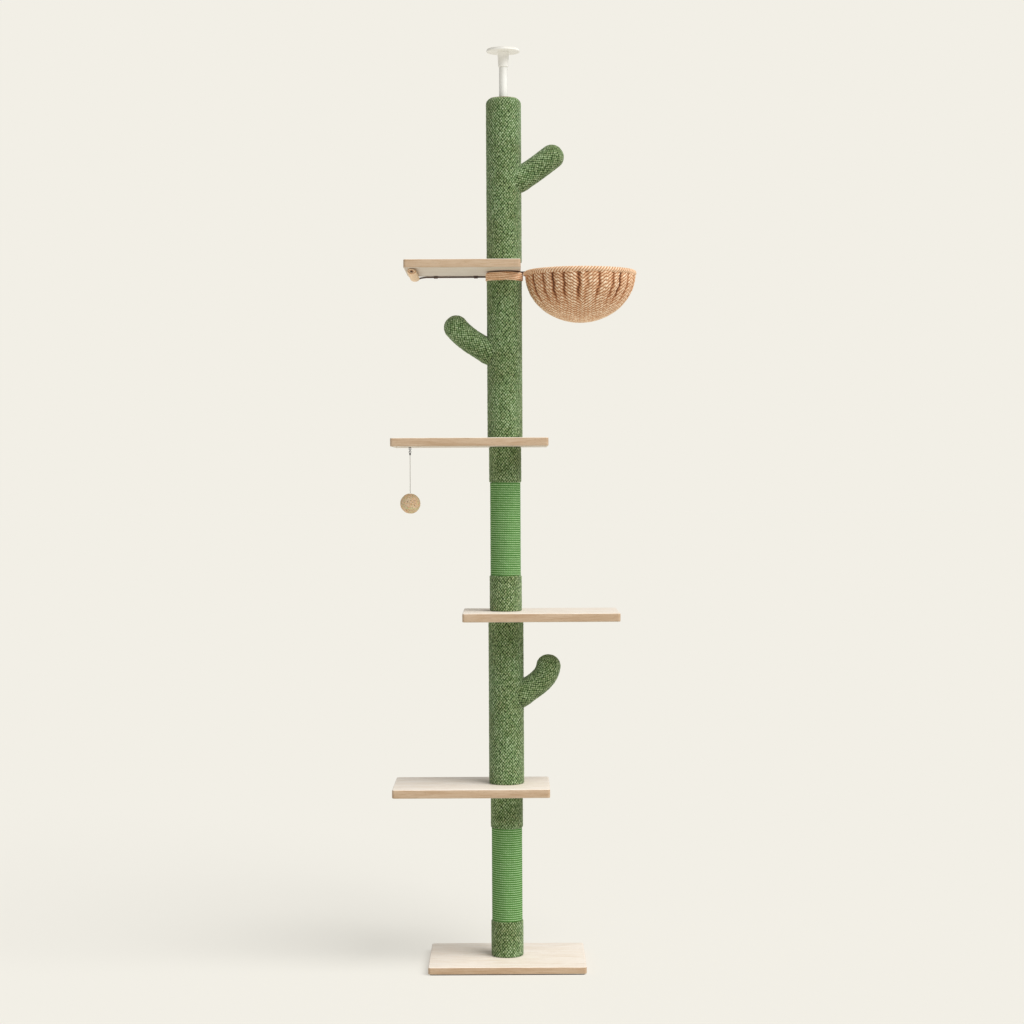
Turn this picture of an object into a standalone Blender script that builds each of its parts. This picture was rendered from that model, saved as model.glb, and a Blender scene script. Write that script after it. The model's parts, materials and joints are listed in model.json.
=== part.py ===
"""Floor-to-ceiling cactus cat tree: post segments, platforms, basket, toy and a sprung ceiling pole.

Metres, +Z up. The origin is on the post's axis at the floor, and the boards' long front edges face -Y.
"""

import math

import bmesh
import bpy
from mathutils import Vector

GAP = 0.0003  # left between pieces that touch

# Base
BASE_SIZE = (0.400, 0.300)
BASE_TOP = 0.020
MAT_THICKNESS = 0.002
MAT_MARGIN = 0.004

# Post stack: segments, with a board between each two
SEGMENT_LENGTH = 0.423
BOARD_THICKNESS = 0.022
FRAME_THICKNESS = 0.005  # the basket frame's plate, clamped under the top perch
TUBE_RADIUS = 0.035
TUBE_WALL = 0.004
SLEEVE_RADIUS = 0.045
CUFF_RADIUS = 0.0413
ROPE_RADIUS = 0.0395
CUFF_LENGTH = 0.0915
CROWN_RADIUS = 0.012  # rounding of the top sleeve's closed end
CROWN_RISE = 0.0025
PLUG_LENGTH = 0.040

# Fasteners
STUD_RADIUS = 0.004
STUD_SLOPE = 0.0008
STUD_REACH = 0.020  # of each stud into the plugs above and below its board
STUD_HOLE = 0.0046
BOLT_HEAD_RADIUS = 0.0095
BOLT_HEAD_HEIGHT = 0.004
WASHER_RADIUS = 0.0105
WASHER_THICKNESS = 0.0015
COUNTERBORE_RADIUS = 0.0125
COUNTERBORE_DEPTH = 0.0068

# Boards: length, depth and the distance of the board's middle from the post
PLATFORM_LENGTH = 0.400
PLATFORM_DEPTH = 0.250
PLATFORM_OFFSET = 0.090
PERCH_LENGTH = 0.296
PERCH_OFFSET = -0.106
CORNER_RADIUS = 0.007
EDGE_ROUNDING = 0.0025

# Cactus arms: segment, side (+1 is +X), height of the bolt, and four Bezier points (out, up from the bolt)
ARM_RADIUS = 0.0315
ARM_FLARE = 0.10  # how much wider the root is, as a share of the radius
ARM_FLARE_REACH = 0.010
ARM_STEPS = 8
TIP_STEPS = 4
TIP_END_DEG = 84  # the last ring of the rounded tip, of 90
ARMS = (
    (2, 1, 0.699, ((0.020, -0.014), (0.062, 0.012), (0.104, 0.030), (0.109, 0.068))),
    (4, -1, 1.578, ((0.020, -0.008), (0.060, 0.009), (0.100, 0.032), (0.125, 0.063))),
    (5, 1, 2.020, ((0.020, -0.007), (0.060, 0.007), (0.092, 0.035), (0.124, 0.058))),
)
ARM_ROOT_REACH = 0.1  # above and below the bolt, of the cut that follows the post
ARM_BOLT_HEAD_RADIUS = 0.0065
ARM_BOLT_HEAD_X = 0.0235
ARM_BOLT_HEAD_THICKNESS = 0.006
ARM_BOLT_END = 0.080
ARM_HOLE_START = 0.031
WALL_HOLE = (0.025, 0.060)  # from and to, out from the post's axis
BOLT_SPIN = 0.17  # turns the bolts' facets off the arms' own seam

# Basket
BASKET_X = 0.1955
RING_RADIUS = 0.138
RING_WIRE = 0.004
RIM_ROLL = 0.0075
RIM_ROLL_ANGLES = (236, -62)
RIM_SLOT_REACH = 0.040
BASKET_DEPTH = 0.129
BASKET_WALL = 0.006
BOWL_STEPS = 8
PLATE_RADIUS = 0.044
TONGUE_WIDTH = 0.030
COLLAR_OUTER = 0.0485
COLLAR_HEIGHT = 0.0175

# Brace rod under the top perch and what is on it
BRACE_WIRE = 0.0022
BRACE_REAR = 0.116
CROSS_X = -0.234
CROSS_FRONT = -0.112
CROSS_DROP = 0.0055
WELD_BITE = 0.0004  # of the brace in the plate's rim
WRAP_SIZE = (0.024, 0.0148)
WRAP_BORE = 0.19  # as a share of the section
WRAP_FRONT = -0.109
WRAP_REAR = 0.103
CLIP_XS = (-0.075, -0.180)
CLIP_WIDTH = 0.010
CLIP_METAL = 0.0012
CLIP_FOOT = 0.009

# Toy
TOY_X = -0.245
LINK_RADIUS = 0.0028
LINK_WIRE = 0.0007
LINK_PLAY = 0.0003
EYE_FLANGE = (0.0042, 0.0008)
EYE_NECK = 0.0010
EYE_NECK_SLOPE = 0.0003
CLIP_BARREL = (0.0021, 0.0055)
STRING_RADIUS = 0.00075
STRING_LENGTH = 0.098
STRING_STEPS = 26
BALL_RADIUS = 0.0262

# Ceiling pole
POLE_RADIUS = 0.0108
POLE_BORE = 0.0093
POLE_BOTTOM = 1.955
POLE_TOP = 2.320
SEAT_BOTTOM = 2.222
SEAT_TOP = 2.231
SLIDER_RADIUS = 0.0215  # clear of the top arm's bolt head
SLIDER_HEIGHT = 0.020
SLIDER_RISE = 0.005  # of the slider above the pole's end
GUIDE_LENGTH = 0.060
CONE_BOTTOM = 2.306
CONE_TOP = 2.3465
CONE_CEILING = 2.3425
CONE_RADII = (0.0128, 0.0150)
STEM_RADIUS = 0.004
STEM_BOTTOM = 2.256
SPRING_RADIUS = 0.0070
SPRING_WIRE = 0.0009
SPRING_TURNS = 7
SPRING_STEPS = 10  # points in one turn
PAD_RADIUS = 0.043
PAD_THICKNESS = 0.005
PAD_SLOPE = 0.0015
FACING_THICKNESS = 0.002

ROUND = 32  # sides of the large round pieces
BASKET_SIDES = 36
SMALL = 12  # sides of bolts, holes and small rings

COLOURS = {  # base colour, roughness, metallic
    "dark_green_knit": ((0.115, 0.190, 0.065), 0.95, 0.0),
    "light_green_rope": ((0.135, 0.330, 0.095), 0.90, 0.0),
    "pale_wood": ((0.700, 0.560, 0.400), 0.55, 0.0),
    "tube_card": ((0.420, 0.330, 0.230), 0.85, 0.0),
    "plug_plastic": ((0.060, 0.060, 0.062), 0.50, 0.0),
    "zinc_steel": ((0.600, 0.600, 0.590), 0.35, 1.0),
    "frame_steel": ((0.100, 0.065, 0.045), 0.45, 0.6),
    "woven_cord": ((0.480, 0.280, 0.150), 0.85, 0.0),
    "white_metal": ((0.820, 0.810, 0.780), 0.35, 0.0),
    "white_plastic": ((0.800, 0.790, 0.760), 0.45, 0.0),
    "black_metal": ((0.030, 0.030, 0.030), 0.40, 0.7),
    "grey_string": ((0.620, 0.610, 0.590), 0.90, 0.0),
    "toy_sisal": ((0.520, 0.360, 0.200), 0.95, 0.0),
    "eva_foam": ((0.050, 0.050, 0.050), 0.80, 0.0),
}


def clear_scene():
    for ob in list(bpy.data.objects):
        bpy.data.objects.remove(ob, do_unlink=True)


def new_collection(name):
    collection = bpy.data.collections.new(name)
    bpy.context.scene.collection.children.link(collection)
    return collection


def finish_material(slot):
    found = bpy.data.materials.get(slot)
    if found:
        return found
    colour, roughness, metallic = COLOURS[slot]
    made = bpy.data.materials.new(slot)
    made.use_nodes = True
    shader = made.node_tree.nodes["Principled BSDF"]
    shader.inputs["Base Color"].default_value = (*colour, 1.0)
    shader.inputs["Roughness"].default_value = roughness
    shader.inputs["Metallic"].default_value = metallic
    return made


def place(name, data, slot=None):
    """One piece in the parts collection, or a wire cutter where there is no slot."""
    ob = bpy.data.objects.new(name, data)
    if slot:
        PARTS.objects.link(ob)
        data.materials.append(finish_material(slot))
    else:
        CUTTERS.objects.link(ob)
        ob.hide_render = True
        ob.display_type = "WIRE"
    return ob


def turned(name, outline, slot=None, steps=ROUND, closed=True):
    """A profile of (radius, height) points, down the outer side first, turned about Z."""
    mesh = bpy.data.meshes.new(name)
    count = len(outline)
    last = count if closed else count - 1
    edges = [(i, (i + 1) % count) for i in range(last)]
    mesh.from_pydata([(r, 0.0, z) for r, z in outline], edges, [])
    ob = place(name, mesh, slot)
    screw = ob.modifiers.new("turn", "SCREW")
    screw.steps = steps
    screw.render_steps = steps
    screw.use_merge_vertices = True
    screw.merge_threshold = 0.00001
    screw.use_smooth_shade = True
    return ob


def ring_section(inner, outer, low, high):
    return [(outer, high), (outer, low), (inner, low), (inner, high)]


def sleeve(name, inner, outer, low, high, slot, steps=ROUND):
    return turned(name, ring_section(inner, outer, low, high), slot, steps)


def rod(name, radius, low, high, slot=None, steps=SMALL):
    """A solid round bar on the Z axis."""
    outline = [(0.0, high), (radius, high), (radius, low), (0.0, low)]
    return turned(name, outline, slot, steps, closed=False)


def box_mesh(name, size, corner=0.0, edge=0.0):
    """A block about its own middle, with rounded corners in plan and softened rims."""
    bm = bmesh.new()
    bmesh.ops.create_cube(bm, size=1.0)
    bmesh.ops.scale(bm, vec=Vector(size), verts=bm.verts)
    if corner:
        upright = [e for e in bm.edges if abs(e.verts[0].co.z - e.verts[1].co.z) > size[2] / 2]
        bmesh.ops.bevel(bm, geom=upright, offset=corner, segments=3, profile=0.5, affect="EDGES")
    if edge:
        rims = [e for e in bm.edges if abs(e.verts[0].co.z - e.verts[1].co.z) < GAP]
        bmesh.ops.bevel(bm, geom=rims, offset=edge, segments=2, profile=0.5, affect="EDGES")
    mesh = bpy.data.meshes.new(name)
    bm.to_mesh(mesh)
    bm.free()
    return mesh


def block(name, size, middle, slot=None, corner=0.0, edge=0.0):
    ob = place(name, box_mesh(name, size, corner, edge), slot)
    ob.location = middle
    return ob


def wire(name, points, radius, slot=None, radii=None, sides=2, cyclic=False):
    """A round bar along points, as a POLY spline with filled ends."""
    curve = bpy.data.curves.new(name, "CURVE")
    curve.dimensions = "3D"
    curve.bevel_depth = radius
    curve.bevel_resolution = sides
    curve.use_fill_caps = not cyclic
    curve.render_resolution_u = 0
    spline = curve.splines.new("POLY")
    spline.points.add(len(points) - 1)
    spline.use_cyclic_u = cyclic
    for i, point in enumerate(points):
        spline.points[i].co = (*point, 1.0)
        spline.points[i].radius = radii[i] if radii else 1.0
    return place(name, curve, slot)


def as_mesh(ob, slot=None):
    """Turns a curve object into a mesh with welded caps."""
    bpy.context.view_layer.update()
    graph = bpy.context.evaluated_depsgraph_get()
    mesh = bpy.data.meshes.new_from_object(ob.evaluated_get(graph))
    bm = bmesh.new()
    bm.from_mesh(mesh)
    bmesh.ops.remove_doubles(bm, verts=bm.verts, dist=0.00001)
    bm.to_mesh(mesh)
    bm.free()
    name = ob.name
    matrix = ob.matrix_world.copy()
    bpy.data.objects.remove(ob, do_unlink=True)
    mesh.materials.clear()
    made = place(name, mesh, slot)
    made.name = name
    made.matrix_world = matrix
    return made


def boolean(target, tool, operation="DIFFERENCE"):
    step = target.modifiers.new(operation.lower(), "BOOLEAN")
    step.object = tool
    step.operation = operation
    step.solver = "EXACT"
    return target


def smooth_curve(points, count):
    """Evenly spread points on the cubic Bezier curve through the first and last of four points."""
    a, b, c, d = (Vector(p) for p in points)
    found = []
    for i in range(count + 1):
        t = i / count
        u = 1.0 - t
        found.append(a * u**3 + b * 3 * u * u * t + c * 3 * u * t * t + d * t**3)
    return found


def circle(centre, radius, sides):
    """A closed round section, clockwise from its top."""
    return arc(centre, radius, 90, 90 - 360 * (sides - 1) / sides, sides - 1)


def arc(centre, radius, start_deg, end_deg, count):
    """Points on a circle in the XZ plane, from one angle to another."""
    step = math.radians(end_deg - start_deg) / count
    begin = math.radians(start_deg)
    angles = [begin + i * step for i in range(count + 1)]
    return [(centre[0] + radius * math.cos(a), centre[1] + radius * math.sin(a)) for a in angles]


def segment_bottom(index):
    """Height of the underside of post segment 0 to 4."""
    extra = FRAME_THICKNESS if index == 4 else 0.0
    return BASE_TOP + index * (SEGMENT_LENGTH + BOARD_THICKNESS) + extra


def segment_top(index):
    return segment_bottom(index) + SEGMENT_LENGTH


def make_base():
    mat_size = (BASE_SIZE[0] - 2 * MAT_MARGIN, BASE_SIZE[1] - 2 * MAT_MARGIN, MAT_THICKNESS)
    block("base_mat", mat_size, (0, 0, MAT_THICKNESS / 2), "eva_foam", CORNER_RADIUS)
    low = MAT_THICKNESS + GAP
    thickness = BASE_TOP - low
    size = (*BASE_SIZE, thickness)
    middle = (0, 0, low + thickness / 2)
    board = block("base_board", size, middle, "pale_wood", CORNER_RADIUS, EDGE_ROUNDING)
    boolean(board, rod("cut_base_hole", STUD_HOLE, 0, BASE_TOP * 2))
    boolean(board, rod("cut_counterbore", COUNTERBORE_RADIUS, 0, low + COUNTERBORE_DEPTH, steps=24))
    head_low = low + GAP
    head_top = head_low + BOLT_HEAD_HEIGHT
    end = BASE_TOP + STUD_REACH
    outline = [
        (0.0, end),
        (STUD_RADIUS - STUD_SLOPE, end),
        (STUD_RADIUS, end - STUD_SLOPE),
        (STUD_RADIUS, head_top),
        (BOLT_HEAD_RADIUS, head_top),
        (BOLT_HEAD_RADIUS, head_low + GAP),
        (BOLT_HEAD_RADIUS - GAP, head_low),
        (0.0, head_low),
    ]
    turned("base_bolt", outline, "zinc_steel", SMALL, closed=False)
    washer = head_top + GAP
    sleeve("base_washer", STUD_HOLE, WASHER_RADIUS, washer, washer + WASHER_THICKNESS, "zinc_steel", SMALL)


def make_plug(name, low, high):
    """A threaded plug with a rounded-off leading edge, pressed in a tube's end."""
    radius = TUBE_RADIUS - TUBE_WALL - 2 * GAP
    sleeve(name, STUD_HOLE, radius, low, high, "plug_plastic")


def make_segment(index):
    low = segment_bottom(index) + GAP
    high = segment_top(index) - GAP
    number = index + 1
    sleeve(f"post_tube_{number}", TUBE_RADIUS - TUBE_WALL, TUBE_RADIUS, low, high, "tube_card")
    make_plug(f"plug_low_{number}", low, low + PLUG_LENGTH)
    if index < 4:
        make_plug(f"plug_top_{number}", high - PLUG_LENGTH, high)
    inner = TUBE_RADIUS + GAP
    if index in (0, 2):
        cuff_top = low + CUFF_LENGTH
        rope_top = high - CUFF_LENGTH
        sleeve(f"cuff_low_{number}", inner, CUFF_RADIUS, low, cuff_top, "dark_green_knit")
        sleeve(f"rope_{number}", inner, ROPE_RADIUS, cuff_top + GAP, rope_top - GAP, "light_green_rope")
        sleeve(f"cuff_top_{number}", inner, CUFF_RADIUS, rope_top, high, "dark_green_knit")
    elif index == 4:
        make_crown_sleeve(f"sleeve_{number}", inner, low, high)
    else:
        sleeve(f"sleeve_{number}", inner, SLEEVE_RADIUS, low, high, "dark_green_knit")


def make_crown_sleeve(name, inner, low, tube_top):
    """The top sleeve is closed over the tube's end, with a hole for the pole."""
    crown = tube_top + GAP + CROWN_RISE
    centre = (SLEEVE_RADIUS - CROWN_RADIUS, crown - CROWN_RADIUS)
    hole = POLE_RADIUS + 3 * GAP
    outline = [(hole, crown)]
    outline += arc(centre, CROWN_RADIUS, 90, 0, 4)
    outline += [(SLEEVE_RADIUS, low), (inner, low), (inner, tube_top + GAP), (hole, tube_top + GAP)]
    turned(name, outline, "dark_green_knit")


def make_stud(index):
    low = segment_top(index) - STUD_REACH
    high = segment_bottom(index + 1) + STUD_REACH
    outline = [
        (0.0, high),
        (STUD_RADIUS - STUD_SLOPE, high),
        (STUD_RADIUS, high - STUD_SLOPE),
        (STUD_RADIUS, low + STUD_SLOPE),
        (STUD_RADIUS - STUD_SLOPE, low),
        (0.0, low),
    ]
    turned(f"joint_stud_{index + 1}", outline, "zinc_steel", SMALL, closed=False)


def make_board(name, length, offset, low):
    """A board clamped between two segments, with its hole on the post's axis."""
    middle = (offset, 0, low + BOARD_THICKNESS / 2)
    size = (length, PLATFORM_DEPTH, BOARD_THICKNESS)
    board = block(name, size, middle, "pale_wood", CORNER_RADIUS, EDGE_ROUNDING)
    cutter = rod(f"cut_{name}", STUD_HOLE, low - BOARD_THICKNESS, low + 2 * BOARD_THICKNESS)
    return boolean(board, cutter)


def make_platforms():
    for index, side in enumerate((-1, 1, -1)):
        make_board(f"platform_{index + 1}", PLATFORM_LENGTH, side * PLATFORM_OFFSET, segment_top(index))
    make_board("top_perch", PERCH_LENGTH, PERCH_OFFSET, segment_top(3) + FRAME_THICKNESS)


def arm_points(side, bolt_height, corners):
    """The arm's route from inside the post to its tip, and its radius at each point."""
    points = smooth_curve([(x, 0.0, z) for x, z in corners], ARM_STEPS)
    tip = points[-1]
    heading = (tip - points[-2]).normalized()
    radii = [1 + ARM_FLARE * math.exp(min(0, SLEEVE_RADIUS - p.x) / ARM_FLARE_REACH) for p in points]
    for i in range(1, TIP_STEPS + 1):
        angle = math.radians(TIP_END_DEG) * i / TIP_STEPS
        points.append(tip + heading * (ARM_RADIUS * math.sin(angle)))
        radii.append(math.cos(angle))
    return [(side * p.x, p.y, p.z + bolt_height) for p in points], radii


def along_x(ob, side, height):
    """Lays a piece turned about Z along X, pointing away from the post on one side."""
    ob.rotation_mode = "ZYX"
    ob.rotation_euler = (0, side * math.pi / 2, BOLT_SPIN)
    ob.location = (0, 0, height)
    return ob


def make_arm(number, segment, side, bolt_height, corners):
    """A stuffed arm, cut to sit on the post's cover and bolted through the tube's wall."""
    points, radii = arm_points(side, bolt_height, corners)
    slot = "dark_green_knit"
    arm = as_mesh(wire(f"cactus_arm_{number}", points, ARM_RADIUS, slot, radii, sides=4), slot)
    low = bolt_height - ARM_ROOT_REACH
    high = bolt_height + ARM_ROOT_REACH
    boolean(arm, rod(f"cut_arm_root_{number}", SLEEVE_RADIUS + GAP, low, high, steps=ROUND))
    hole = rod(f"cut_arm_hole_{number}", STUD_HOLE, ARM_HOLE_START, ARM_BOLT_END + 2 * GAP)
    boolean(arm, along_x(hole, side, bolt_height))
    wall_cutter = along_x(rod(f"cut_wall_{number}", STUD_HOLE, *WALL_HOLE), side, bolt_height)
    boolean(bpy.data.objects[f"post_tube_{segment}"], wall_cutter)
    boolean(bpy.data.objects[f"sleeve_{segment}"], wall_cutter)
    head_end = ARM_BOLT_HEAD_X + ARM_BOLT_HEAD_THICKNESS
    outline = [
        (0.0, ARM_BOLT_END),
        (STUD_RADIUS - 2 * STUD_SLOPE, ARM_BOLT_END),
        (STUD_RADIUS, ARM_BOLT_END - STUD_RADIUS),
        (STUD_RADIUS, head_end),
        (ARM_BOLT_HEAD_RADIUS, head_end),
        (ARM_BOLT_HEAD_RADIUS, ARM_BOLT_HEAD_X),
        (0.0, ARM_BOLT_HEAD_X),
    ]
    along_x(turned(f"arm_bolt_{number}", outline, "zinc_steel", SMALL, closed=False), side, bolt_height)


def frame_low():
    return segment_top(3) + GAP


def frame_high():
    return segment_top(3) + FRAME_THICKNESS - GAP


def ring_height():
    return segment_top(3)


def basket_ring(name, minor, slot=None):
    ob = turned(name, circle((RING_RADIUS, ring_height()), minor, 6), slot, BASKET_SIDES)
    ob.location.x = BASKET_X
    return ob


def make_basket_frame():
    """Plate between segment 4 and the top perch, with a tongue welded to the basket's ring."""
    plate = sleeve("basket_frame", STUD_HOLE, PLATE_RADIUS, frame_low(), frame_high(), "frame_steel")
    tongue_end = BASKET_X - RING_RADIUS
    tongue_start = PLATE_RADIUS / 2
    size = (tongue_end - tongue_start, TONGUE_WIDTH, frame_high() - frame_low())
    middle = ((tongue_end + tongue_start) / 2, 0, (frame_high() + frame_low()) / 2)
    boolean(plate, block("cut_tongue", size, middle), "UNION")
    boolean(plate, basket_ring("cut_ring", RING_WIRE), "UNION")


def bowl_side(reach, rim, bottom):
    """Points of one side of the bowl's wall, from the middle of its bottom up to the rim."""
    turns = [math.pi / 2 * i / BOWL_STEPS for i in range(BOWL_STEPS + 1)]
    return [(reach * math.sin(t), rim - (rim - bottom) * math.cos(t)) for t in turns]


def bowl_outline():
    """The bowl's section: up the inner wall, round the rolled rim and down the outer wall."""
    rim = ring_height()
    joint = rim - RIM_ROLL
    bottom = rim - BASKET_DEPTH
    outer_radius = RING_RADIUS + RIM_ROLL / 2
    outer = bowl_side(outer_radius, joint, bottom)
    inner = bowl_side(outer_radius - BASKET_WALL, joint, bottom + BASKET_WALL)
    roll = arc((RING_RADIUS, rim), RIM_ROLL, *RIM_ROLL_ANGLES, 8)
    return inner[:-1] + roll + outer[-2::-1]


def make_basket_bowl():
    bowl = turned("basket_bowl", bowl_outline(), "woven_cord", BASKET_SIDES, closed=False)
    bowl.location.x = BASKET_X
    slot_size = (RIM_SLOT_REACH, TONGUE_WIDTH + 2 * GAP, frame_high() - frame_low() + 2 * GAP)
    slot_x = BASKET_X - RING_RADIUS - RIM_SLOT_REACH / 2 + RING_WIRE / 2
    slot_middle = (slot_x, 0, (frame_high() + frame_low()) / 2)
    boolean(bowl, block("cut_rim_slot", slot_size, slot_middle))
    boolean(bowl, basket_ring("cut_rim_channel", RING_WIRE + 2 * GAP))


def make_collar_wrap():
    high = segment_top(3) - GAP
    sleeve("collar_wrap", SLEEVE_RADIUS + GAP, COLLAR_OUTER, high - COLLAR_HEIGHT, high, "woven_cord")


def brace_route():
    """From the plate's rear edge, along the perch's rear, then across under its far end."""
    high = (frame_low() + frame_high()) / 2
    low = high - CROSS_DROP
    return [
        (-0.008, PLATE_RADIUS + WELD_BITE, high),
        (-0.012, 0.075, high),
        (-0.020, 0.104, high),
        (-0.034, 0.1145, high),
        (-0.050, BRACE_REAR, high),
        (CROSS_X + 0.030, BRACE_REAR, high),
        (CROSS_X + 0.015, BRACE_REAR - 0.0005, high - CROSS_DROP * 0.35),
        (CROSS_X + 0.006, BRACE_REAR - 0.0030, low),
        (CROSS_X + 0.0015, BRACE_REAR - 0.0075, low),
        (CROSS_X, BRACE_REAR - 0.0125, low),
        (CROSS_X, CROSS_FRONT, low),
    ]


def make_brace():
    wire("perch_brace", brace_route(), BRACE_WIRE, "frame_steel", sides=3)
    low = brace_route()[-1][2]
    wrap_length = WRAP_REAR - WRAP_FRONT
    outline = ring_section(WRAP_BORE, 0.5, -wrap_length / 2, wrap_length / 2)
    wrap = turned("brace_wrap", outline, "woven_cord", 24)
    scale_to(wrap, (WRAP_SIZE[0], WRAP_SIZE[1], 1.0))
    wrap.rotation_euler = (math.pi / 2, 0, 0)
    wrap.location = (CROSS_X, (WRAP_REAR + WRAP_FRONT) / 2, low)
    for index, x in enumerate(CLIP_XS):
        make_saddle_clip(f"brace_clip_{index + 1}", x)


def scale_to(ob, size):
    """Applies a Screw modifier and then a scale, so that the piece has its real section."""
    bpy.context.view_layer.update()
    graph = bpy.context.evaluated_depsgraph_get()
    mesh = bpy.data.meshes.new_from_object(ob.evaluated_get(graph))
    ob.modifiers.clear()
    ob.data = mesh
    for vertex in mesh.vertices:
        vertex.co = Vector((vertex.co.x * size[0], vertex.co.y * size[1], vertex.co.z * size[2]))


def make_saddle_clip(name, x):
    """A strap bent under the brace rod, its two feet against the board."""
    top = segment_top(3) + FRAME_THICKNESS - GAP
    rod_height = (frame_low() + frame_high()) / 2
    inner = BRACE_WIRE + GAP
    outer = inner + CLIP_METAL
    foot = outer + CLIP_FOOT
    under = arc((0, rod_height), outer, 180, 360, 8)
    over = arc((0, rod_height), inner, 360, 180, 8)
    outline = [(-foot, top), (-foot, top - CLIP_METAL), (-outer, top - CLIP_METAL), *under]
    outline += [(outer, top - CLIP_METAL), (foot, top - CLIP_METAL), (foot, top)]
    outline += [(inner, top), *over, (-inner, top)]
    curve = bpy.data.curves.new(name, "CURVE")
    curve.dimensions = "2D"
    curve.fill_mode = "BOTH"
    curve.extrude = CLIP_WIDTH / 2
    curve.render_resolution_u = 0
    spline = curve.splines.new("POLY")
    spline.points.add(len(outline) - 1)
    spline.use_cyclic_u = True
    for i, (y, z) in enumerate(outline):
        spline.points[i].co = (y, z, 0.0, 1.0)
    strap = place(name, curve, "frame_steel")
    strap.rotation_euler = (math.pi / 2, 0, math.pi / 2)
    strap.location = (x, BRACE_REAR, 0)
    return as_mesh(strap, "frame_steel")


def chain_heights():
    """Heights of the middles of the eye, the link and the clip's loop, each hanging in the last."""
    hang = 2 * LINK_RADIUS - 2 * LINK_WIRE - LINK_PLAY
    eye = segment_top(2) - GAP - LINK_WIRE - LINK_RADIUS - EYE_FLANGE[1]
    return eye, eye - hang, eye - 2 * hang


def small_ring(name, height, turned_about_y, slot=None):
    """A ring in the XZ plane, or in the YZ plane."""
    ring = turned(name, circle((LINK_RADIUS, 0.0), LINK_WIRE, 6), slot, SMALL)
    ring.location = (TOY_X, 0, height)
    ring.rotation_euler = (math.pi / 2, 0, 0) if turned_about_y else (0, math.pi / 2, 0)
    return ring


def make_toy_hardware():
    """The eye in the platform, a link and the clip. Returns the height of the clip's lower end."""
    eye, link, loop = chain_heights()
    under = segment_top(2) - GAP
    flange, flange_thickness = EYE_FLANGE
    outline = [
        (0.0, under),
        (flange, under),
        (flange, under - flange_thickness),
        (EYE_NECK, under - flange_thickness - EYE_NECK_SLOPE),
        (EYE_NECK, eye + LINK_RADIUS),
        (0.0, eye + LINK_RADIUS),
    ]
    stem = turned("toy_eye", outline, "black_metal", SMALL, closed=False)
    stem.location = (TOY_X, 0, 0)
    boolean(stem, small_ring("cut_eye_ring", eye, True), "UNION")
    small_ring("toy_link", link, False, "black_metal")
    radius, height = CLIP_BARREL
    barrel_top = loop - LINK_RADIUS + LINK_WIRE / 2
    outline = [
        (0.0, barrel_top),
        (radius / 2, barrel_top),
        (radius, barrel_top - radius / 2),
        (radius, barrel_top - height),
        (0.0, barrel_top - height),
    ]
    clip = turned("toy_clip", outline, "black_metal", SMALL, closed=False)
    clip.location = (TOY_X, 0, 0)
    boolean(clip, small_ring("cut_clip_loop", loop, True), "UNION")
    return barrel_top - height


def make_toy():
    string_top = make_toy_hardware() - GAP
    step = STRING_LENGTH / STRING_STEPS
    points = [(TOY_X, 0, string_top - i * step) for i in range(STRING_STEPS + 1)]
    wire("toy_string", points, STRING_RADIUS, "grey_string")
    ball = bmesh.new()
    bmesh.ops.create_uvsphere(ball, u_segments=16, v_segments=12, radius=BALL_RADIUS)
    mesh = bpy.data.meshes.new("toy_ball")
    ball.to_mesh(mesh)
    ball.free()
    ball_top = string_top - STRING_LENGTH - GAP
    place("toy_ball", mesh, "toy_sisal").location = (TOY_X, 0, ball_top - BALL_RADIUS)


def make_pole():
    guide_top = segment_top(4) - GAP
    guide_bore = POLE_RADIUS + 2 * GAP
    guide_radius = TUBE_RADIUS - TUBE_WALL - 2 * GAP
    sleeve("pole_guide", guide_bore, guide_radius, guide_top - GUIDE_LENGTH, guide_top, "plug_plastic")
    outline = [
        (0.0, SEAT_TOP),
        (POLE_BORE, SEAT_TOP),
        (POLE_BORE, POLE_TOP),
        (POLE_RADIUS, POLE_TOP),
        (POLE_RADIUS, POLE_BOTTOM),
        (POLE_BORE, POLE_BOTTOM),
        (POLE_BORE, SEAT_BOTTOM),
        (0.0, SEAT_BOTTOM),
    ]
    turned("pole", outline, "white_metal", 24, closed=False)
    low = POLE_BOTTOM + SLIDER_RISE
    sleeve("pole_slider", POLE_RADIUS + GAP, SLIDER_RADIUS, low, low + SLIDER_HEIGHT, "plug_plastic")


def make_spring():
    low = SEAT_TOP + GAP + SPRING_WIRE
    high = CONE_CEILING - GAP - SPRING_WIRE
    count = SPRING_TURNS * SPRING_STEPS
    points = []
    for i in range(count + 1):
        angle = 2 * math.pi * i / SPRING_STEPS
        height = low + (high - low) * i / count
        points.append((SPRING_RADIUS * math.cos(angle), SPRING_RADIUS * math.sin(angle), height))
    wire("pad_spring", points, SPRING_WIRE, "zinc_steel")


def make_pad():
    bore = POLE_RADIUS + 2 * GAP
    outline = [
        (0.0, CONE_TOP),
        (CONE_RADII[1], CONE_TOP),
        (CONE_RADII[0], CONE_BOTTOM),
        (bore, CONE_BOTTOM),
        (bore, CONE_CEILING),
        (STEM_RADIUS, CONE_CEILING),
        (STEM_RADIUS, STEM_BOTTOM),
        (0.0, STEM_BOTTOM),
    ]
    turned("pad_cone", outline, "white_plastic", 24, closed=False)
    low = CONE_TOP + GAP
    high = low + PAD_THICKNESS
    pad = [
        (0.0, high),
        (PAD_RADIUS, high),
        (PAD_RADIUS, low + PAD_SLOPE),
        (PAD_RADIUS - PAD_SLOPE, low),
        (0.0, low),
    ]
    turned("ceiling_pad", pad, "white_plastic", ROUND, closed=False)
    facing = high + GAP
    rod("pad_facing", PAD_RADIUS - PAD_SLOPE, facing, facing + FACING_THICKNESS, "white_plastic", ROUND)


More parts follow.
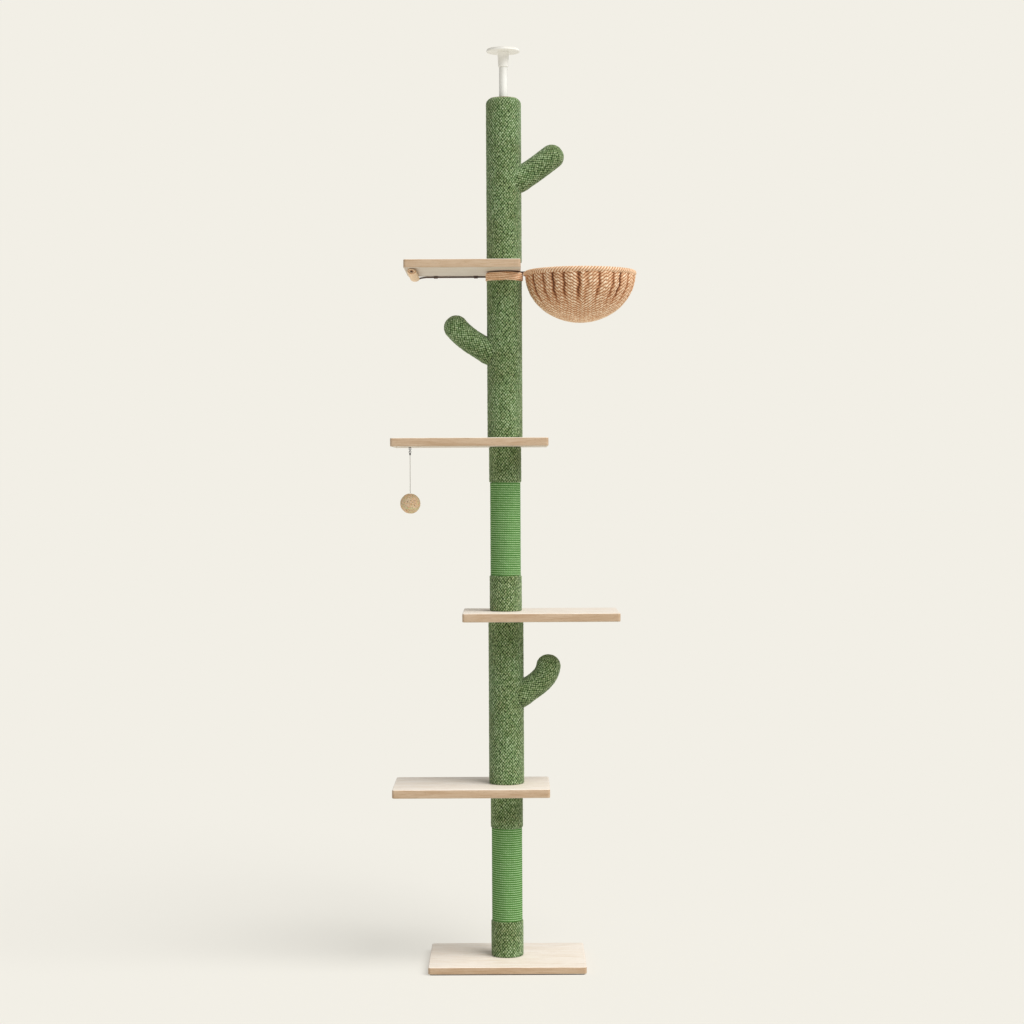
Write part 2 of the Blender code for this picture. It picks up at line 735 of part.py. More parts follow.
def smooth_round_pieces():
    for ob in PARTS.objects:
        if ob.type == "MESH":
            ob.data.shade_smooth()
            ob.data.set_sharp_from_angle(angle=math.radians(35))


def group_bodies():
    """Empties on the joint axes, with the pieces that move about them as children."""
    toy = ["toy_eye", "toy_link", "toy_clip", "toy_string", "toy_ball"]
    perch = ["top_perch", "perch_brace", "brace_wrap", "brace_clip_1", "brace_clip_2"]
    pole = ["pole", "pole_slider", "pad_spring", "pad_cone", "ceiling_pad", "pad_facing"]
    pivots = {
        "swivel_1": (segment_top(0), ["platform_1"]),
        "swivel_2": (segment_top(1), ["platform_2"]),
        "swivel_3": (segment_top(2), ["platform_3", *toy]),
        "swivel_top": (segment_top(3), ["basket_frame", "basket_bowl", *perch]),
        "pole_slide": (POLE_BOTTOM, pole),
    }
    for name, (height, children) in pivots.items():
        pivot = bpy.data.objects.new(name, None)
        PARTS.objects.link(pivot)
        pivot.location.z = height
        pivot.empty_display_size = 0.05
        bpy.context.view_layer.update()
        for child in children:
            ob = bpy.data.objects[child]
            ob.parent = pivot
            ob.matrix_parent_inverse = pivot.matrix_world.inverted()


def build():
    make_base()
    for index in range(5):
        make_segment(index)
    for index in range(4):
        make_stud(index)
    make_platforms()
    for number, (segment, side, bolt_height, corners) in enumerate(ARMS, start=1):
        make_arm(number, segment, side, bolt_height, corners)
    make_basket_frame()
    make_basket_bowl()
    make_collar_wrap()
    make_brace()
    make_toy()
    make_pole()
    make_spring()
    make_pad()
    smooth_round_pieces()
    group_bodies()


clear_scene()
PARTS = new_collection("cat_tree")
CUTTERS = new_collection("cutters")
build()
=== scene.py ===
"""Looks of the cactus cat tree: looped covers, rope, boards, a plaited basket, a toy and a ceiling pole."""

import json
import math

import bpy
import numpy as np
from mathutils import Euler, Matrix, Vector


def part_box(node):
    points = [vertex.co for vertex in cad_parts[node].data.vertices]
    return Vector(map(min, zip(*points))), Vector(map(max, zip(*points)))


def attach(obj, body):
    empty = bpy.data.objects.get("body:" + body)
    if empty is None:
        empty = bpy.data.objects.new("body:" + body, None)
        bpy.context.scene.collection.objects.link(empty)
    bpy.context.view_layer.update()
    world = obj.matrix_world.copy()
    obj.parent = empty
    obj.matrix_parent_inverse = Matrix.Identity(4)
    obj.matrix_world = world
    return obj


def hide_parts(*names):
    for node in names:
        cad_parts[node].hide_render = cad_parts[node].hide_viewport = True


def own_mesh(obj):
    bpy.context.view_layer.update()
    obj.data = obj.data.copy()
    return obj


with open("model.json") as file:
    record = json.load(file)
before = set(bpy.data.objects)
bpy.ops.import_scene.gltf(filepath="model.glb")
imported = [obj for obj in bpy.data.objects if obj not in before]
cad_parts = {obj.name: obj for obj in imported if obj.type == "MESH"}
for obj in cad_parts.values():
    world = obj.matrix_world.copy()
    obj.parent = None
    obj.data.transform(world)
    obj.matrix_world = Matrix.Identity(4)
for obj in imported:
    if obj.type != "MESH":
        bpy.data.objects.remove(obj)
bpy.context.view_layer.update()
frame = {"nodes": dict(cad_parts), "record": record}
BODIES = frame["record"]["behaviour"]["bodies"]

SEAM = 0.00001  # points nearer than this become one

# Looped cloth of the covers, cuffs and arms
LOOP_WIDTH = 0.0070
COURSE = 0.0043  # height of one row of loops
LOOP_RISE = 0.0022
CLOTH_STEP = 0.0013  # between the points of the net that carries the loops
POINTS_IN_LOOP = 6
HEM = 0.003  # length over which a cover's end turns under
HEM_DEPTH = 0.0022
SHOULDER = 0.015  # radius of the top cover's rim
SHOULDER_SINK = 0.0015
POLE_GAP = 0.0012  # between the top cover and the pole

# Rope wound on the scratching stretches
ROPE_PITCH = 0.0056
ROPE_RISE = 0.0020
ROPE_STRAND = 0.0062  # between the notches of its lay
ROPE_STEP = 0.0008
ROPE_AROUND = 168

# Cactus arms: side of the post, height of the bolt, and four Bezier points (out, up from the bolt)
ARM_RADIUS = 0.0315
ARM_FLARE = 0.0031  # how much wider the arm is where it's sewn to the post
ARM_FLARE_START = 0.045
ARM_FLARE_REACH = 0.010
ARM_ROOT = 0.028  # where the arm's cloth starts, inside the post's cover
ARM_SINK = 0.002  # of the cut end below that radius
ARM_SAMPLES = 400  # points read along the curve of its middle line
ARM_SADDLE = 0.0425  # radius about the post that the arm's cut end follows
ARMS = (
    ("cactus_arm_1", 1, 0.699, ((0.020, -0.014), (0.062, 0.012), (0.104, 0.030), (0.109, 0.068))),
    ("cactus_arm_2", -1, 1.578, ((0.020, -0.008), (0.060, 0.009), (0.100, 0.032), (0.125, 0.063))),
    ("cactus_arm_3", 1, 2.020, ((0.020, -0.007), (0.060, 0.007), (0.092, 0.035), (0.124, 0.058))),
)

# Basket
BOWL_WALL = 0.005
BOWL_SWELL = 0.002  # of the wall outside the ring
BOWL_STEPS = 90
BOWL_LIFT = 0.0045  # of the plaits' feet above the bowl's lowest point
GATHERS = 26
GATHER_WIDTH = 0.0044
GATHER_DEPTH = 0.0030
GATHER_SWELL = 0.0016  # of the wall between two gathers
GATHER_WANDER = 0.0020
GATHER_WAVER = 0.0012
GATHER_FOOT = 0.5  # share of the way up the wall where a gather starts
GATHER_FADE = 0.22  # share over which it reaches its depth
BOWL_NET = (480, 0.00105)  # faces round the wall, and the height of each
LINING_NET = (360, 0.0020)
PLAIT_PITCH = 0.0082
PLAIT_NOTCH = 0.0090
PLAIT_RISE = 0.0024
PLAIT_RAGGED = 0.12  # share of its pitch that a plait strays
PLAIT_SLOPE = 0.75  # rise of each plait, away from the front, over its run round the bowl
RIM_STRANDS = 4
RIM_TWISTS = 27
RIM_POINTS = 10 * RIM_TWISTS
RIM_LOTS = 40  # changes of tone in one radian of the ring
RIM_CORE = 0.0039  # from the ring's middle to each strand's
RIM_STRAND_RADIUS = 0.0036

# Cord round the post under the basket, over the brace rod and over the basket's tongue
COLLAR_TURNS = 4
COLLAR_SLOPE = 0.0030
COLLAR_NET = (240, 0.0006)
BRACE_PITCH = 0.0056
BRACE_STRAND = 0.0058
TONGUE_WIDE = 0.0370
TONGUE_TALL = 0.0130
TONGUE_LAP = 0.006  # of its cord into the basket's rim
BAR_EYE = 0.003  # radius left open at the end of a wound bar
BAR_NET = (120, 0.0009)

# Boards
BOARD_CORNER = 0.007
BOARD_EASING = 0.0025
STUD_HOLE = 0.0046

# Toy
BALL_RADIUS = 0.0262
BALL_CORE = 0.0234
YARN_RADIUS = 0.0012
YARN_SINK = 0.045  # share of the radius that a winding may lie deeper
WINDINGS = 64
EYE_NECK = 0.0010
EYE_FLANGE = 0.0042
CLIP_RADIUS = 0.0021
STRING_PLY = 0.00042
STRING_TWIST = 0.0042  # length of one turn of the string's two plies

# Pole and ceiling pad
CUP_SKIRT = 0.011  # of the cup below the pole's top
CUP_TAPER = 0.853
SOFT_EDGE = 0.0006
DISC_SIDES = 96

# Spring between the pole and the ceiling pad
SPRING_WIRE = 0.0009  # radius
SPRING_TURNS = 7
SPRING_STEPS = 24  # points in one turn

# Camera and light
CAMERA_PLACE = (0.017, -5.76, 1.2463)
CAMERA_DIP = 0.81  # degrees below level
CAMERA_ROLL = -0.28
CAMERA_LENS = 78.56
SUN_POWER = 3.05
SUN_HEIGHT = 50  # degrees above the floor
SUN_SIDE = 51  # degrees to the right of the camera
SUN_SOFTNESS = 48
SKY_POWER = 0.34
FLOOR_GLOW = 0.5  # share of the floor's brightness that is its own, so that shadows on it stay faint
PAPER = "#F2EFE6"


def linear(code):
    """An sRGB hex colour as the linear one that shaders use."""
    parts = [int(code[i : i + 2], 16) / 255 for i in (1, 3, 5)]
    return (*[p / 12.92 if p <= 0.04045 else ((p + 0.055) / 1.055) ** 2.4 for p in parts], 1.0)


def add(tree, kind, inputs=(), stops=(), **settings):
    """Adds a node. inputs is {socket: its value or the socket that feeds it}; stops are a ramp's colours."""
    made = tree.nodes.new("ShaderNode" + kind)
    for name, value in settings.items():
        setattr(made, name, value)
    for name, value in dict(inputs).items():
        if isinstance(value, bpy.types.NodeSocket):
            tree.links.new(value, made.inputs[name])
        else:
            made.inputs[name].default_value = value
    for i, (place, colour) in enumerate(stops):
        stop = made.color_ramp.elements[i] if i < 2 else made.color_ramp.elements.new(place)
        stop.position = place
        stop.color = linear(colour)
    return made


def new_finish(name, **constants):
    """A material with constants on its own shader. Returns the material, its tree and the shader."""
    made = bpy.data.materials.new(name)
    made.use_nodes = True
    shader = made.node_tree.nodes["Principled BSDF"]
    for socket, value in constants.items():
        shader.inputs[socket.replace("_", " ")].default_value = value
    return made, made.node_tree, shader


def object_grid(tree, scale=(1.0, 1.0, 1.0), turned=(0.0, 0.0, 0.0)):
    """Object coordinates, stretched or turned so that a pattern can follow the piece."""
    place = add(tree, "TexCoord").outputs["Object"]
    return add(tree, "Mapping", {"Vector": place, "Scale": scale, "Rotation": turned}).outputs["Vector"]


def frayed_pile(tree, grid, size, fray):
    """Fibre noise of a size in metres, and the height above the hollows with a share of that noise in it."""
    pile = add(tree, "Attribute", attribute_name="pile").outputs["Fac"]
    fibre = add(tree, "TexNoise", {"Vector": grid, "Scale": 1 / size, "Detail": 2.0}).outputs["Fac"]
    frayed = add(tree, "Math", {0: fibre, 1: fray, 2: -fray / 2}, operation="MULTIPLY_ADD").outputs[0]
    return fibre, add(tree, "Math", {0: pile, 1: frayed}, operation="ADD").outputs[0]


def looped_yarn():
    """Acrylic boucle: mid green yarn with painted shade of near-black green between the loops, a painted
    highlight of pale green on their tips, and a dry nap.
    """
    made, tree, shader = new_finish("looped_acrylic_yarn", Roughness=0.95, Specular_IOR_Level=0.15)
    shader.inputs["Sheen Weight"].default_value = 0.25
    shader.inputs["Sheen Roughness"].default_value = 0.5
    grid = object_grid(tree)
    tone = add(tree, "Attribute", attribute_name="tone").outputs["Fac"]
    fibre, depth = frayed_pile(tree, grid, 0.0011, 0.5)
    patch = add(tree, "TexNoise", {"Vector": grid, "Scale": 1 / 0.09, "Detail": 2.0}).outputs["Fac"]
    # painted shade and highlight: the colour darkens to near-black in the hollows between the loops and
    # pales on their tips
    shade_and_highlight_greens = [(0.06, "#12190D"), (0.32, "#3A4E2D"), (0.62, "#66844E"), (0.95, "#BFCEAA")]
    painted_shade_to_highlight = add(tree, "ValToRGB", {"Fac": depth}, shade_and_highlight_greens).outputs["Color"]
    dyes = [(0.0, "#C9C2A0"), (0.5, "#E6EFDC"), (1.0, "#FFFFFF")]
    lots = add(tree, "ValToRGB", {"Fac": tone}, dyes).outputs["Color"]
    dyed = add(tree, "MixRGB", {"Fac": 0.5, "Color1": painted_shade_to_highlight, "Color2": lots}, blend_type="MULTIPLY")
    fade = add(tree, "ValToRGB", {"Fac": patch}, [(0.35, "#D2C6AA"), (0.6, "#FFFFFF")]).outputs["Color"]
    faded = {"Fac": 0.5, "Color1": dyed.outputs[0], "Color2": fade}
    colour = add(tree, "MixRGB", faded, blend_type="MULTIPLY")
    tree.links.new(colour.outputs[0], shader.inputs["Base Color"])
    bump = add(tree, "Bump", {"Height": fibre, "Strength": 0.5, "Distance": 0.0006})
    tree.links.new(bump.outputs["Normal"], shader.inputs["Normal"])
    return made


def wound_rope():
    """Dyed jute rope in leaf green, with painted shade of deep green in the lay and between the turns, and a
    painted highlight of pale green on the strands' crowns.
    """
    made, tree, shader = new_finish("dyed_jute_rope", Roughness=0.9, Specular_IOR_Level=0.2)
    tone = add(tree, "Attribute", attribute_name="tone").outputs["Fac"]
    fibre, depth = frayed_pile(tree, object_grid(tree), 0.0009, 0.4)
    # painted shade in the lay and between the turns, painted highlight on the strands' crowns
    shade_and_highlight_greens = [(0.05, "#183C10"), (0.42, "#346622"), (0.74, "#50853A"), (1.0, "#A9C896")]
    painted_lay_shade = add(tree, "ValToRGB", {"Fac": depth}, shade_and_highlight_greens).outputs["Color"]
    lots = add(tree, "ValToRGB", {"Fac": tone}, [(0.0, "#D2DFC4"), (1.0, "#FFFFFF")]).outputs["Color"]
    colour = add(tree, "MixRGB", {"Fac": 0.5, "Color1": painted_lay_shade, "Color2": lots}, blend_type="MULTIPLY")
    tree.links.new(colour.outputs[0], shader.inputs["Base Color"])
    bump = add(tree, "Bump", {"Height": fibre, "Strength": 0.45, "Distance": 0.0005})
    tree.links.new(bump.outputs["Normal"], shader.inputs["Normal"])
    return made


def plaited_cord():
    """Waxed paper cord in warm tan, with painted shade of red-brown in the gathers and between the strands,
    a painted highlight of pale cream on their crowns, and a faint soft gloss.
    """
    made, tree, shader = new_finish("plaited_paper_cord", Roughness=0.75, Specular_IOR_Level=0.3)
    tone = add(tree, "Attribute", attribute_name="tone").outputs["Fac"]
    fibre, depth = frayed_pile(tree, object_grid(tree), 0.0012, 0.4)
    # painted shade in the hollows and gathers, painted highlight on the strands' crowns
    shade_and_highlight_tans = [(0.04, "#45200E"), (0.26, "#A46B45"), (0.54, "#DDA97E"), (0.86, "#FDE6C8")]
    painted_lay_shade = add(tree, "ValToRGB", {"Fac": depth}, shade_and_highlight_tans).outputs["Color"]
    lots = add(tree, "ValToRGB", {"Fac": tone}, [(0.0, "#DCC6AE"), (1.0, "#FFFFFF")]).outputs["Color"]
    colour = add(tree, "MixRGB", {"Fac": 0.5, "Color1": painted_lay_shade, "Color2": lots}, blend_type="MULTIPLY")
    tree.links.new(colour.outputs[0], shader.inputs["Base Color"])
    bump = add(tree, "Bump", {"Height": fibre, "Strength": 0.4, "Distance": 0.0005})
    tree.links.new(bump.outputs["Normal"], shader.inputs["Normal"])
    return made


def sisal_yarn():
    """Undyed sisal wound in a ball: straw, pink-tan and faded green lengths, with painted shade in the
    hollows between.
    """
    made, tree, shader = new_finish("sisal_yarn", Roughness=0.95, Specular_IOR_Level=0.15)
    tone = add(tree, "Attribute", attribute_name="tone").outputs["Fac"]
    fibre, depth = frayed_pile(tree, object_grid(tree), 0.0010, 0.6)
    lengths = [(0.0, "#E0B48C"), (0.35, "#EBCBA2"), (0.6, "#E8CBB6"), (0.85, "#D6D2A2")]
    dyed = add(tree, "ValToRGB", {"Fac": tone}, lengths).outputs["Color"]
    # painted shade: darker brown the deeper a point lies between the windings
    painted_hollow_shade = add(tree, "ValToRGB", {"Fac": depth}, [(0.0, "#6E5236"), (0.5, "#FFFFFF")]).outputs["Color"]
    colour = add(tree, "MixRGB", {"Fac": 1.0, "Color1": dyed, "Color2": painted_hollow_shade}, blend_type="MULTIPLY")
    tree.links.new(colour.outputs[0], shader.inputs["Base Color"])
    bump = add(tree, "Bump", {"Height": fibre, "Strength": 0.6, "Distance": 0.0005})
    tree.links.new(bump.outputs["Normal"], shader.inputs["Normal"])
    return made


def sanded_wood(name, pale, deep, pore):
    """Sanded rubberwood under satin lacquer: long fine grain, short pores and a slow drift of tone."""
    made, tree, shader = new_finish(name, Roughness=0.5, Specular_IOR_Level=0.35)
    figure_grid = object_grid(tree, (1 / 0.16, 1 / 0.012, 1 / 0.012))
    grain_grid = object_grid(tree, (1 / 0.040, 1 / 0.0016, 1 / 0.0016))
    pore_grid = object_grid(tree, (1 / 0.007, 1 / 0.0007, 1 / 0.0007))
    figure = add(tree, "TexNoise", {"Vector": figure_grid, "Scale": 1.0, "Detail": 3.0, "Distortion": 0.6})
    grain = add(tree, "TexNoise", {"Vector": grain_grid, "Scale": 1.0, "Detail": 3.0})
    pores = add(tree, "TexNoise", {"Vector": pore_grid, "Scale": 1.0, "Detail": 1.0})
    base = add(tree, "ValToRGB", {"Fac": figure.outputs["Fac"]}, [(0.3, deep), (0.62, pale)])
    lines = add(tree, "ValToRGB", {"Fac": grain.outputs["Fac"]}, [(0.34, "#E4D6C4"), (0.56, "#FFFFFF")])
    grained = {"Fac": 0.6, "Color1": base.outputs["Color"], "Color2": lines.outputs["Color"]}
    lined = add(tree, "MixRGB", grained, blend_type="MULTIPLY")
    spots = add(tree, "ValToRGB", {"Fac": pores.outputs["Fac"]}, [(0.27, pore), (0.36, "#FFFFFF")])
    pitted = {"Fac": 0.35, "Color1": lined.outputs[0], "Color2": spots.outputs["Color"]}
    colour = add(tree, "MixRGB", pitted, blend_type="MULTIPLY")
    tree.links.new(colour.outputs[0], shader.inputs["Base Color"])
    bump = add(tree, "Bump", {"Height": grain.outputs["Fac"], "Strength": 0.12, "Distance": 0.0003})
    tree.links.new(bump.outputs["Normal"], shader.inputs["Normal"])
    return made


def coated_metal(name, colour, worn, gloss, grit, metallic=0.0):
    """Powder-coated steel or moulded plastic: an even colour with a fine orange-peel skin."""
    made, tree, shader = new_finish(name, Metallic=metallic)
    grid = object_grid(tree)
    peel = add(tree, "TexNoise", {"Vector": grid, "Scale": 1 / grit, "Detail": 2.0}).outputs["Fac"]
    drift = add(tree, "TexNoise", {"Vector": grid, "Scale": 1 / 0.05, "Detail": 3.0}).outputs["Fac"]
    shades = add(tree, "ValToRGB", {"Fac": drift}, [(0.35, worn), (0.6, colour)]).outputs["Color"]
    tree.links.new(shades, shader.inputs["Base Color"])
    rough = add(tree, "MapRange", {"Value": peel, "To Min": gloss - 0.06, "To Max": gloss + 0.06})
    tree.links.new(rough.outputs["Result"], shader.inputs["Roughness"])
    bump = add(tree, "Bump", {"Height": peel, "Strength": 0.15, "Distance": 0.0002})
    tree.links.new(bump.outputs["Normal"], shader.inputs["Normal"])
    return made


def cotton_twine():
    """Grey-white cotton: fine dull fibre, with painted shade where the two plies meet."""
    made, tree, shader = new_finish("twisted_cotton_twine", Roughness=0.9, Specular_IOR_Level=0.2)
    fibre, depth = frayed_pile(tree, object_grid(tree), 0.0003, 0.4)
    # painted shade: darker grey in the crease where the plies meet
    greys = add(tree, "ValToRGB", {"Fac": depth}, [(0.1, "#7F7C75"), (0.8, "#D0CDC6")]).outputs["Color"]
    tree.links.new(greys, shader.inputs["Base Color"])
    bump = add(tree, "Bump", {"Height": fibre, "Strength": 0.4, "Distance": 0.0002})
    tree.links.new(bump.outputs["Normal"], shader.inputs["Normal"])
    return made


def zinc_plate():
    """Zinc-plated steel: cool grey crystals under a thin bright passivation."""
    made, tree, shader = new_finish("zinc_plated_steel", Metallic=1.0)
    grid = object_grid(tree)
    crystals = add(tree, "TexVoronoi", {"Vector": grid, "Scale": 1 / 0.0025}).outputs["Color"]
    greys = add(tree, "ValToRGB", {"Fac": crystals}, [(0.0, "#B4B6B6"), (1.0, "#CFD0CE")]).outputs["Color"]
    tree.links.new(greys, shader.inputs["Base Color"])
    rough = add(tree, "MapRange", {"Value": crystals, "To Min": 0.28, "To Max": 0.42}).outputs["Result"]
    tree.links.new(rough, shader.inputs["Roughness"])
    return made


def spiral_card():
    """Kraft tube board: brown paper laid in a spiral, with a darker joint each turn."""
    made, tree, shader = new_finish("spiral_kraft_card", Roughness=0.85)
    grid = object_grid(tree)
    spiral = {"Vector": grid, "Scale": 1 / 0.09, "Distortion": 0.4}
    joints = add(tree, "TexWave", spiral, bands_direction="Z")
    paper = add(tree, "TexNoise", {"Vector": grid, "Scale": 1 / 0.003, "Detail": 3.0}).outputs["Fac"]
    browns = add(tree, "ValToRGB", {"Fac": paper}, [(0.3, "#9A7F60"), (0.7, "#B89B78")]).outputs["Color"]
    jointed = {"Fac": 0.2, "Color1": browns, "Color2": joints.outputs["Color"]}
    lined = add(tree, "MixRGB", jointed, blend_type="MULTIPLY")
    tree.links.new(lined.outputs[0], shader.inputs["Base Color"])
    return made


def foam_mat():
    """Closed-cell EVA: charcoal with a skin of tiny burst bubbles."""
    made, tree, shader = new_finish("closed_cell_eva", Roughness=0.85)
    cells = add(tree, "TexVoronoi", {"Vector": object_grid(tree), "Scale": 1 / 0.0012}).outputs["Distance"]
    blacks = add(tree, "ValToRGB", {"Fac": cells}, [(0.0, "#26262A"), (0.6, "#3C3C40")]).outputs["Color"]
    tree.links.new(blacks, shader.inputs["Base Color"])
    bump = add(tree, "Bump", {"Height": cells, "Strength": 0.4, "Distance": 0.0003})
    tree.links.new(bump.outputs["Normal"], shader.inputs["Normal"])
    return made


def clear_selection():
    bpy.ops.object.select_all(action="DESELECT")


def settle(piece, name, finish):
    """Names a new piece, puts its place in its mesh and gives it its finish."""
    piece.name = name
    clear_selection()
    piece.select_set(True)
    bpy.context.view_layer.objects.active = piece
    bpy.ops.object.transform_apply(location=True, rotation=True, scale=True)
    piece.data.materials.clear()
    piece.data.materials.append(finish)
    return piece


def pick(piece, kind, test):
    """Leaves a piece in edit mode with only the edges or faces selected that pass a test."""
    bpy.context.view_layer.objects.active = piece
    bpy.ops.object.mode_set(mode="EDIT")
    bpy.ops.mesh.select_mode(type=kind)
    bpy.ops.mesh.select_all(action="DESELECT")
    bpy.ops.object.mode_set(mode="OBJECT")
    for item in piece.data.polygons if kind == "FACE" else piece.data.edges:
        item.select = test(item)
    bpy.ops.object.mode_set(mode="EDIT")


def done_editing(angle=35):
    """Leaves edit mode and smooths across edges flatter than an angle."""
    bpy.ops.object.mode_set(mode="OBJECT")
    bpy.ops.object.shade_smooth_by_angle(angle=math.radians(angle))


def stand_for(piece, slot, *nodes):
    """The piece rides where CAD nodes do and is shown in their place."""
    body = next(name for name, members in BODIES.items() if nodes[0] in members)
    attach(piece, body)
    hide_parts(*nodes)
    return piece


def paint(piece, pile, tone):
    """Keeps each point's height above the hollows, and its yarn's tone, for the materials to read."""
    for name, values in (("pile", pile), ("tone", tone)):
        kept = piece.data.attributes.new(name, "FLOAT", "POINT")
        kept.data.foreach_set("value", np.asarray(values, np.float32))


def corners_of(piece):
    """The points of a piece's mesh, one row each."""
    found = np.empty(len(piece.data.vertices) * 3, np.float32)
    piece.data.vertices.foreach_get("co", found)
    return found.reshape(-1, 3)


def even_steps(outline, step):
    """Points a step apart along an outline, the way that faces out at each, and the outline's length."""
    corners = np.array(outline, float)
    runs = np.linalg.norm(np.diff(corners, axis=0), axis=1)
    reached = np.concatenate(([0.0], np.cumsum(runs)))
    places = np.linspace(0.0, reached[-1], max(2, round(reached[-1] / step)) + 1)
    path = np.stack([np.interp(places, reached, corners[:, i]) for i in (0, 1)], axis=1)
    heading = np.gradient(path, axis=0)
    heading /= np.linalg.norm(heading, axis=1, keepdims=True)
    out = np.stack((heading[:, 1], -heading[:, 0]), axis=1)
    return path, out, reached[-1]


def flat_net(around, rows):
    """A flat net of small faces, one unit each way, and where each of its points lies across and up it."""
    clear_selection()
    bpy.ops.mesh.primitive_grid_add(x_subdivisions=around, y_subdivisions=rows, size=1)
    piece = bpy.context.object
    across, up = (corners_of(piece)[:, :2] + 0.5).T
    return piece, across.astype(float), up.astype(float)


def roll_up(piece, name, points, pile, tone, finish):
    """Moves a flat net's points to their places and closes the seam where its sides meet."""
    piece.data.vertices.foreach_set("co", np.asarray(points, np.float32).ravel())
    paint(piece, pile, tone)
    bpy.ops.object.mode_set(mode="EDIT")
    bpy.ops.mesh.select_all(action="SELECT")
    bpy.ops.mesh.remove_doubles(threshold=SEAM)
    bpy.ops.object.mode_set(mode="OBJECT")
    bpy.ops.object.shade_smooth()
    return settle(piece, name, finish)


def turned_net(name, outline, around, step, relief, finish):
    """A fine net turned about Z. relief gives each point's rise in metres, its pile and its tone."""
    path, out, length = even_steps(outline, step)
    rows = len(path) - 1
    piece, across, up = flat_net(around, rows)
    row = np.rint(up * rows).astype(int)
    rise, pile, tone = relief(across, up * length)
    reach = path[row, 0] + out[row, 0] * rise
    height = path[row, 1] + out[row, 1] * rise
    angle = 2 * np.pi * across
    points = np.stack((reach * np.cos(angle), reach * np.sin(angle), height), axis=1)
    return roll_up(piece, name, points, pile, tone, finish)


def loop_pile(across, along, count, seed):
    """Height, 0 to 1, of staggered yarn loops, and each loop's tone. across is 0 to 1, along in metres."""
    chance = np.random.default_rng(seed)
    place = along / COURSE + 1.5
    tones, lifts, drifts, climbs = chance.random((4, int(place.max()) + 4, count))
    best = np.zeros_like(along)
    shade = np.zeros_like(along)
    for step in (-1, 0, 1):
        course = np.rint(place).astype(int) + step
        column = across * count + 0.5 * (course % 2)
        loop = (course, np.rint(column).astype(int) % count)
        sideways = column - np.rint(column) + 0.26 * (drifts[loop] - 0.5)
        upward = place - course + 0.36 * (climbs[loop] - 0.5)
        round_top = np.clip(1 - (sideways / 0.50) ** 2 - (upward / 0.88) ** 2, 0, 1) ** 0.7
        height = (0.76 + 0.24 * lifts[loop]) * round_top
        shade = np.where(height > best, tones[loop], shade)
        best = np.maximum(best, height)
    return best, shade


def knit_tube(node, seed, finish, over_top=None):
    """A looped cover round a stretch of post, with both ends turned under."""
    low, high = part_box(node)
    radius = high.x - LOOP_RISE * 0.7
    count = round(2 * math.pi * radius / LOOP_WIDTH)
    outline = [(radius, low.z), (radius, high.z)] if over_top is None else over_top(radius, low.z, high.z)
    length = even_steps(outline, CLOTH_STEP)[2]

    def relief(across, along):
        pile, tone = loop_pile(across, along, count, seed)
        from_end = along if over_top else np.minimum(along, length - along)
        turned_in = np.clip(1 - from_end / HEM, 0, 1) ** 2
        return pile * LOOP_RISE - turned_in * HEM_DEPTH, pile, tone

    piece = turned_net(node + "_cloth", outline, count * POINTS_IN_LOOP, CLOTH_STEP, relief, finish)
    return stand_for(piece, "dark_green_knit", node)


def crown(radius, low, high):
    """Outline of the top cover: up its side, round the shoulder and in to the pole."""
    middle = (radius - SHOULDER, high - SHOULDER - LOOP_RISE - SHOULDER_SINK)
    turn = [math.radians(10 * i) for i in range(10)]
    arc = [(middle[0] + SHOULDER * math.cos(a), middle[1] + SHOULDER * math.sin(a)) for a in turn]
    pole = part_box("pole")[1].x
    return [(radius, low), *arc, (pole + POLE_GAP, middle[1] + SHOULDER)]


def scattered(numbers):
    """A share from 0 to 1 for each whole number, with no order that shows."""
    return (np.sin(numbers * 12.9898) * 43758.5453) % 1.0


def rope_turns(across, along, pitch, strand, girth):
    """Height, 0 to 1, of rope wound in touching turns, with the slanting notches of its lay."""
    turn = along / pitch + across
    offset = turn - np.floor(turn) - 0.5
    section = np.sqrt(np.clip(1 - (1.9 * offset) ** 2, 0, 1))
    lay = ((across - np.floor(turn)) * girth / strand + 0.9 * offset) % 1.0
    ply = np.sqrt(np.clip(1 - (2 * lay - 1) ** 2, 0, 1))
    number = np.floor((across - np.floor(turn)) * girth / strand + 0.9 * offset)
    return section * (0.72 + 0.28 * ply), scattered(number)


def rope_winding(node, finish):
    """Rope wound tight on a stretch of post."""
    low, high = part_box(node)
    radius = high.x - ROPE_RISE
    girth = 2 * math.pi * high.x

    def relief(across, along):
        pile, tone = rope_turns(across, along, ROPE_PITCH, ROPE_STRAND, girth)
        return pile * ROPE_RISE, pile, tone

    outline = [(radius, low.z), (radius, high.z)]
    piece = turned_net(node + "_winding", outline, ROPE_AROUND, ROPE_STEP, relief, finish)
    return stand_for(piece, "light_green_rope", node)


def bezier(corners, count):
    """Points along the curve that four control points draw."""
    a, b, c, d = (np.array(p, float) for p in corners)
    t = np.linspace(0.0, 1.0, count)[:, None]
    return a * (1 - t) ** 3 + b * 3 * t * (1 - t) ** 2 + c * 3 * t * t * (1 - t) + d * t**3


def arm_line(corners):
    """The arm's middle line, its heading and how far it has closed in over its round tip, at even steps."""
    curve = bezier(corners, ARM_SAMPLES)
    curve = curve[curve[:, 0] > ARM_ROOT]
    path, out, _ = even_steps(curve, CLOTH_STEP)
    heading = np.stack((-out[:, 1], out[:, 0]), axis=1)
    count = round(ARM_RADIUS * math.pi / 2 / CLOTH_STEP)
    closing = np.linspace(0.0, math.pi / 2, count + 1)[1:]
    tip = path[-1] + heading[-1] * (ARM_RADIUS - LOOP_RISE) * np.sin(closing)[:, None]
    path = np.concatenate((path, tip))
    heading = np.concatenate((heading, np.repeat(heading[-1:], count, axis=0)))
    closed = np.concatenate((np.zeros(len(path) - count), closing))
    return path, heading, closed


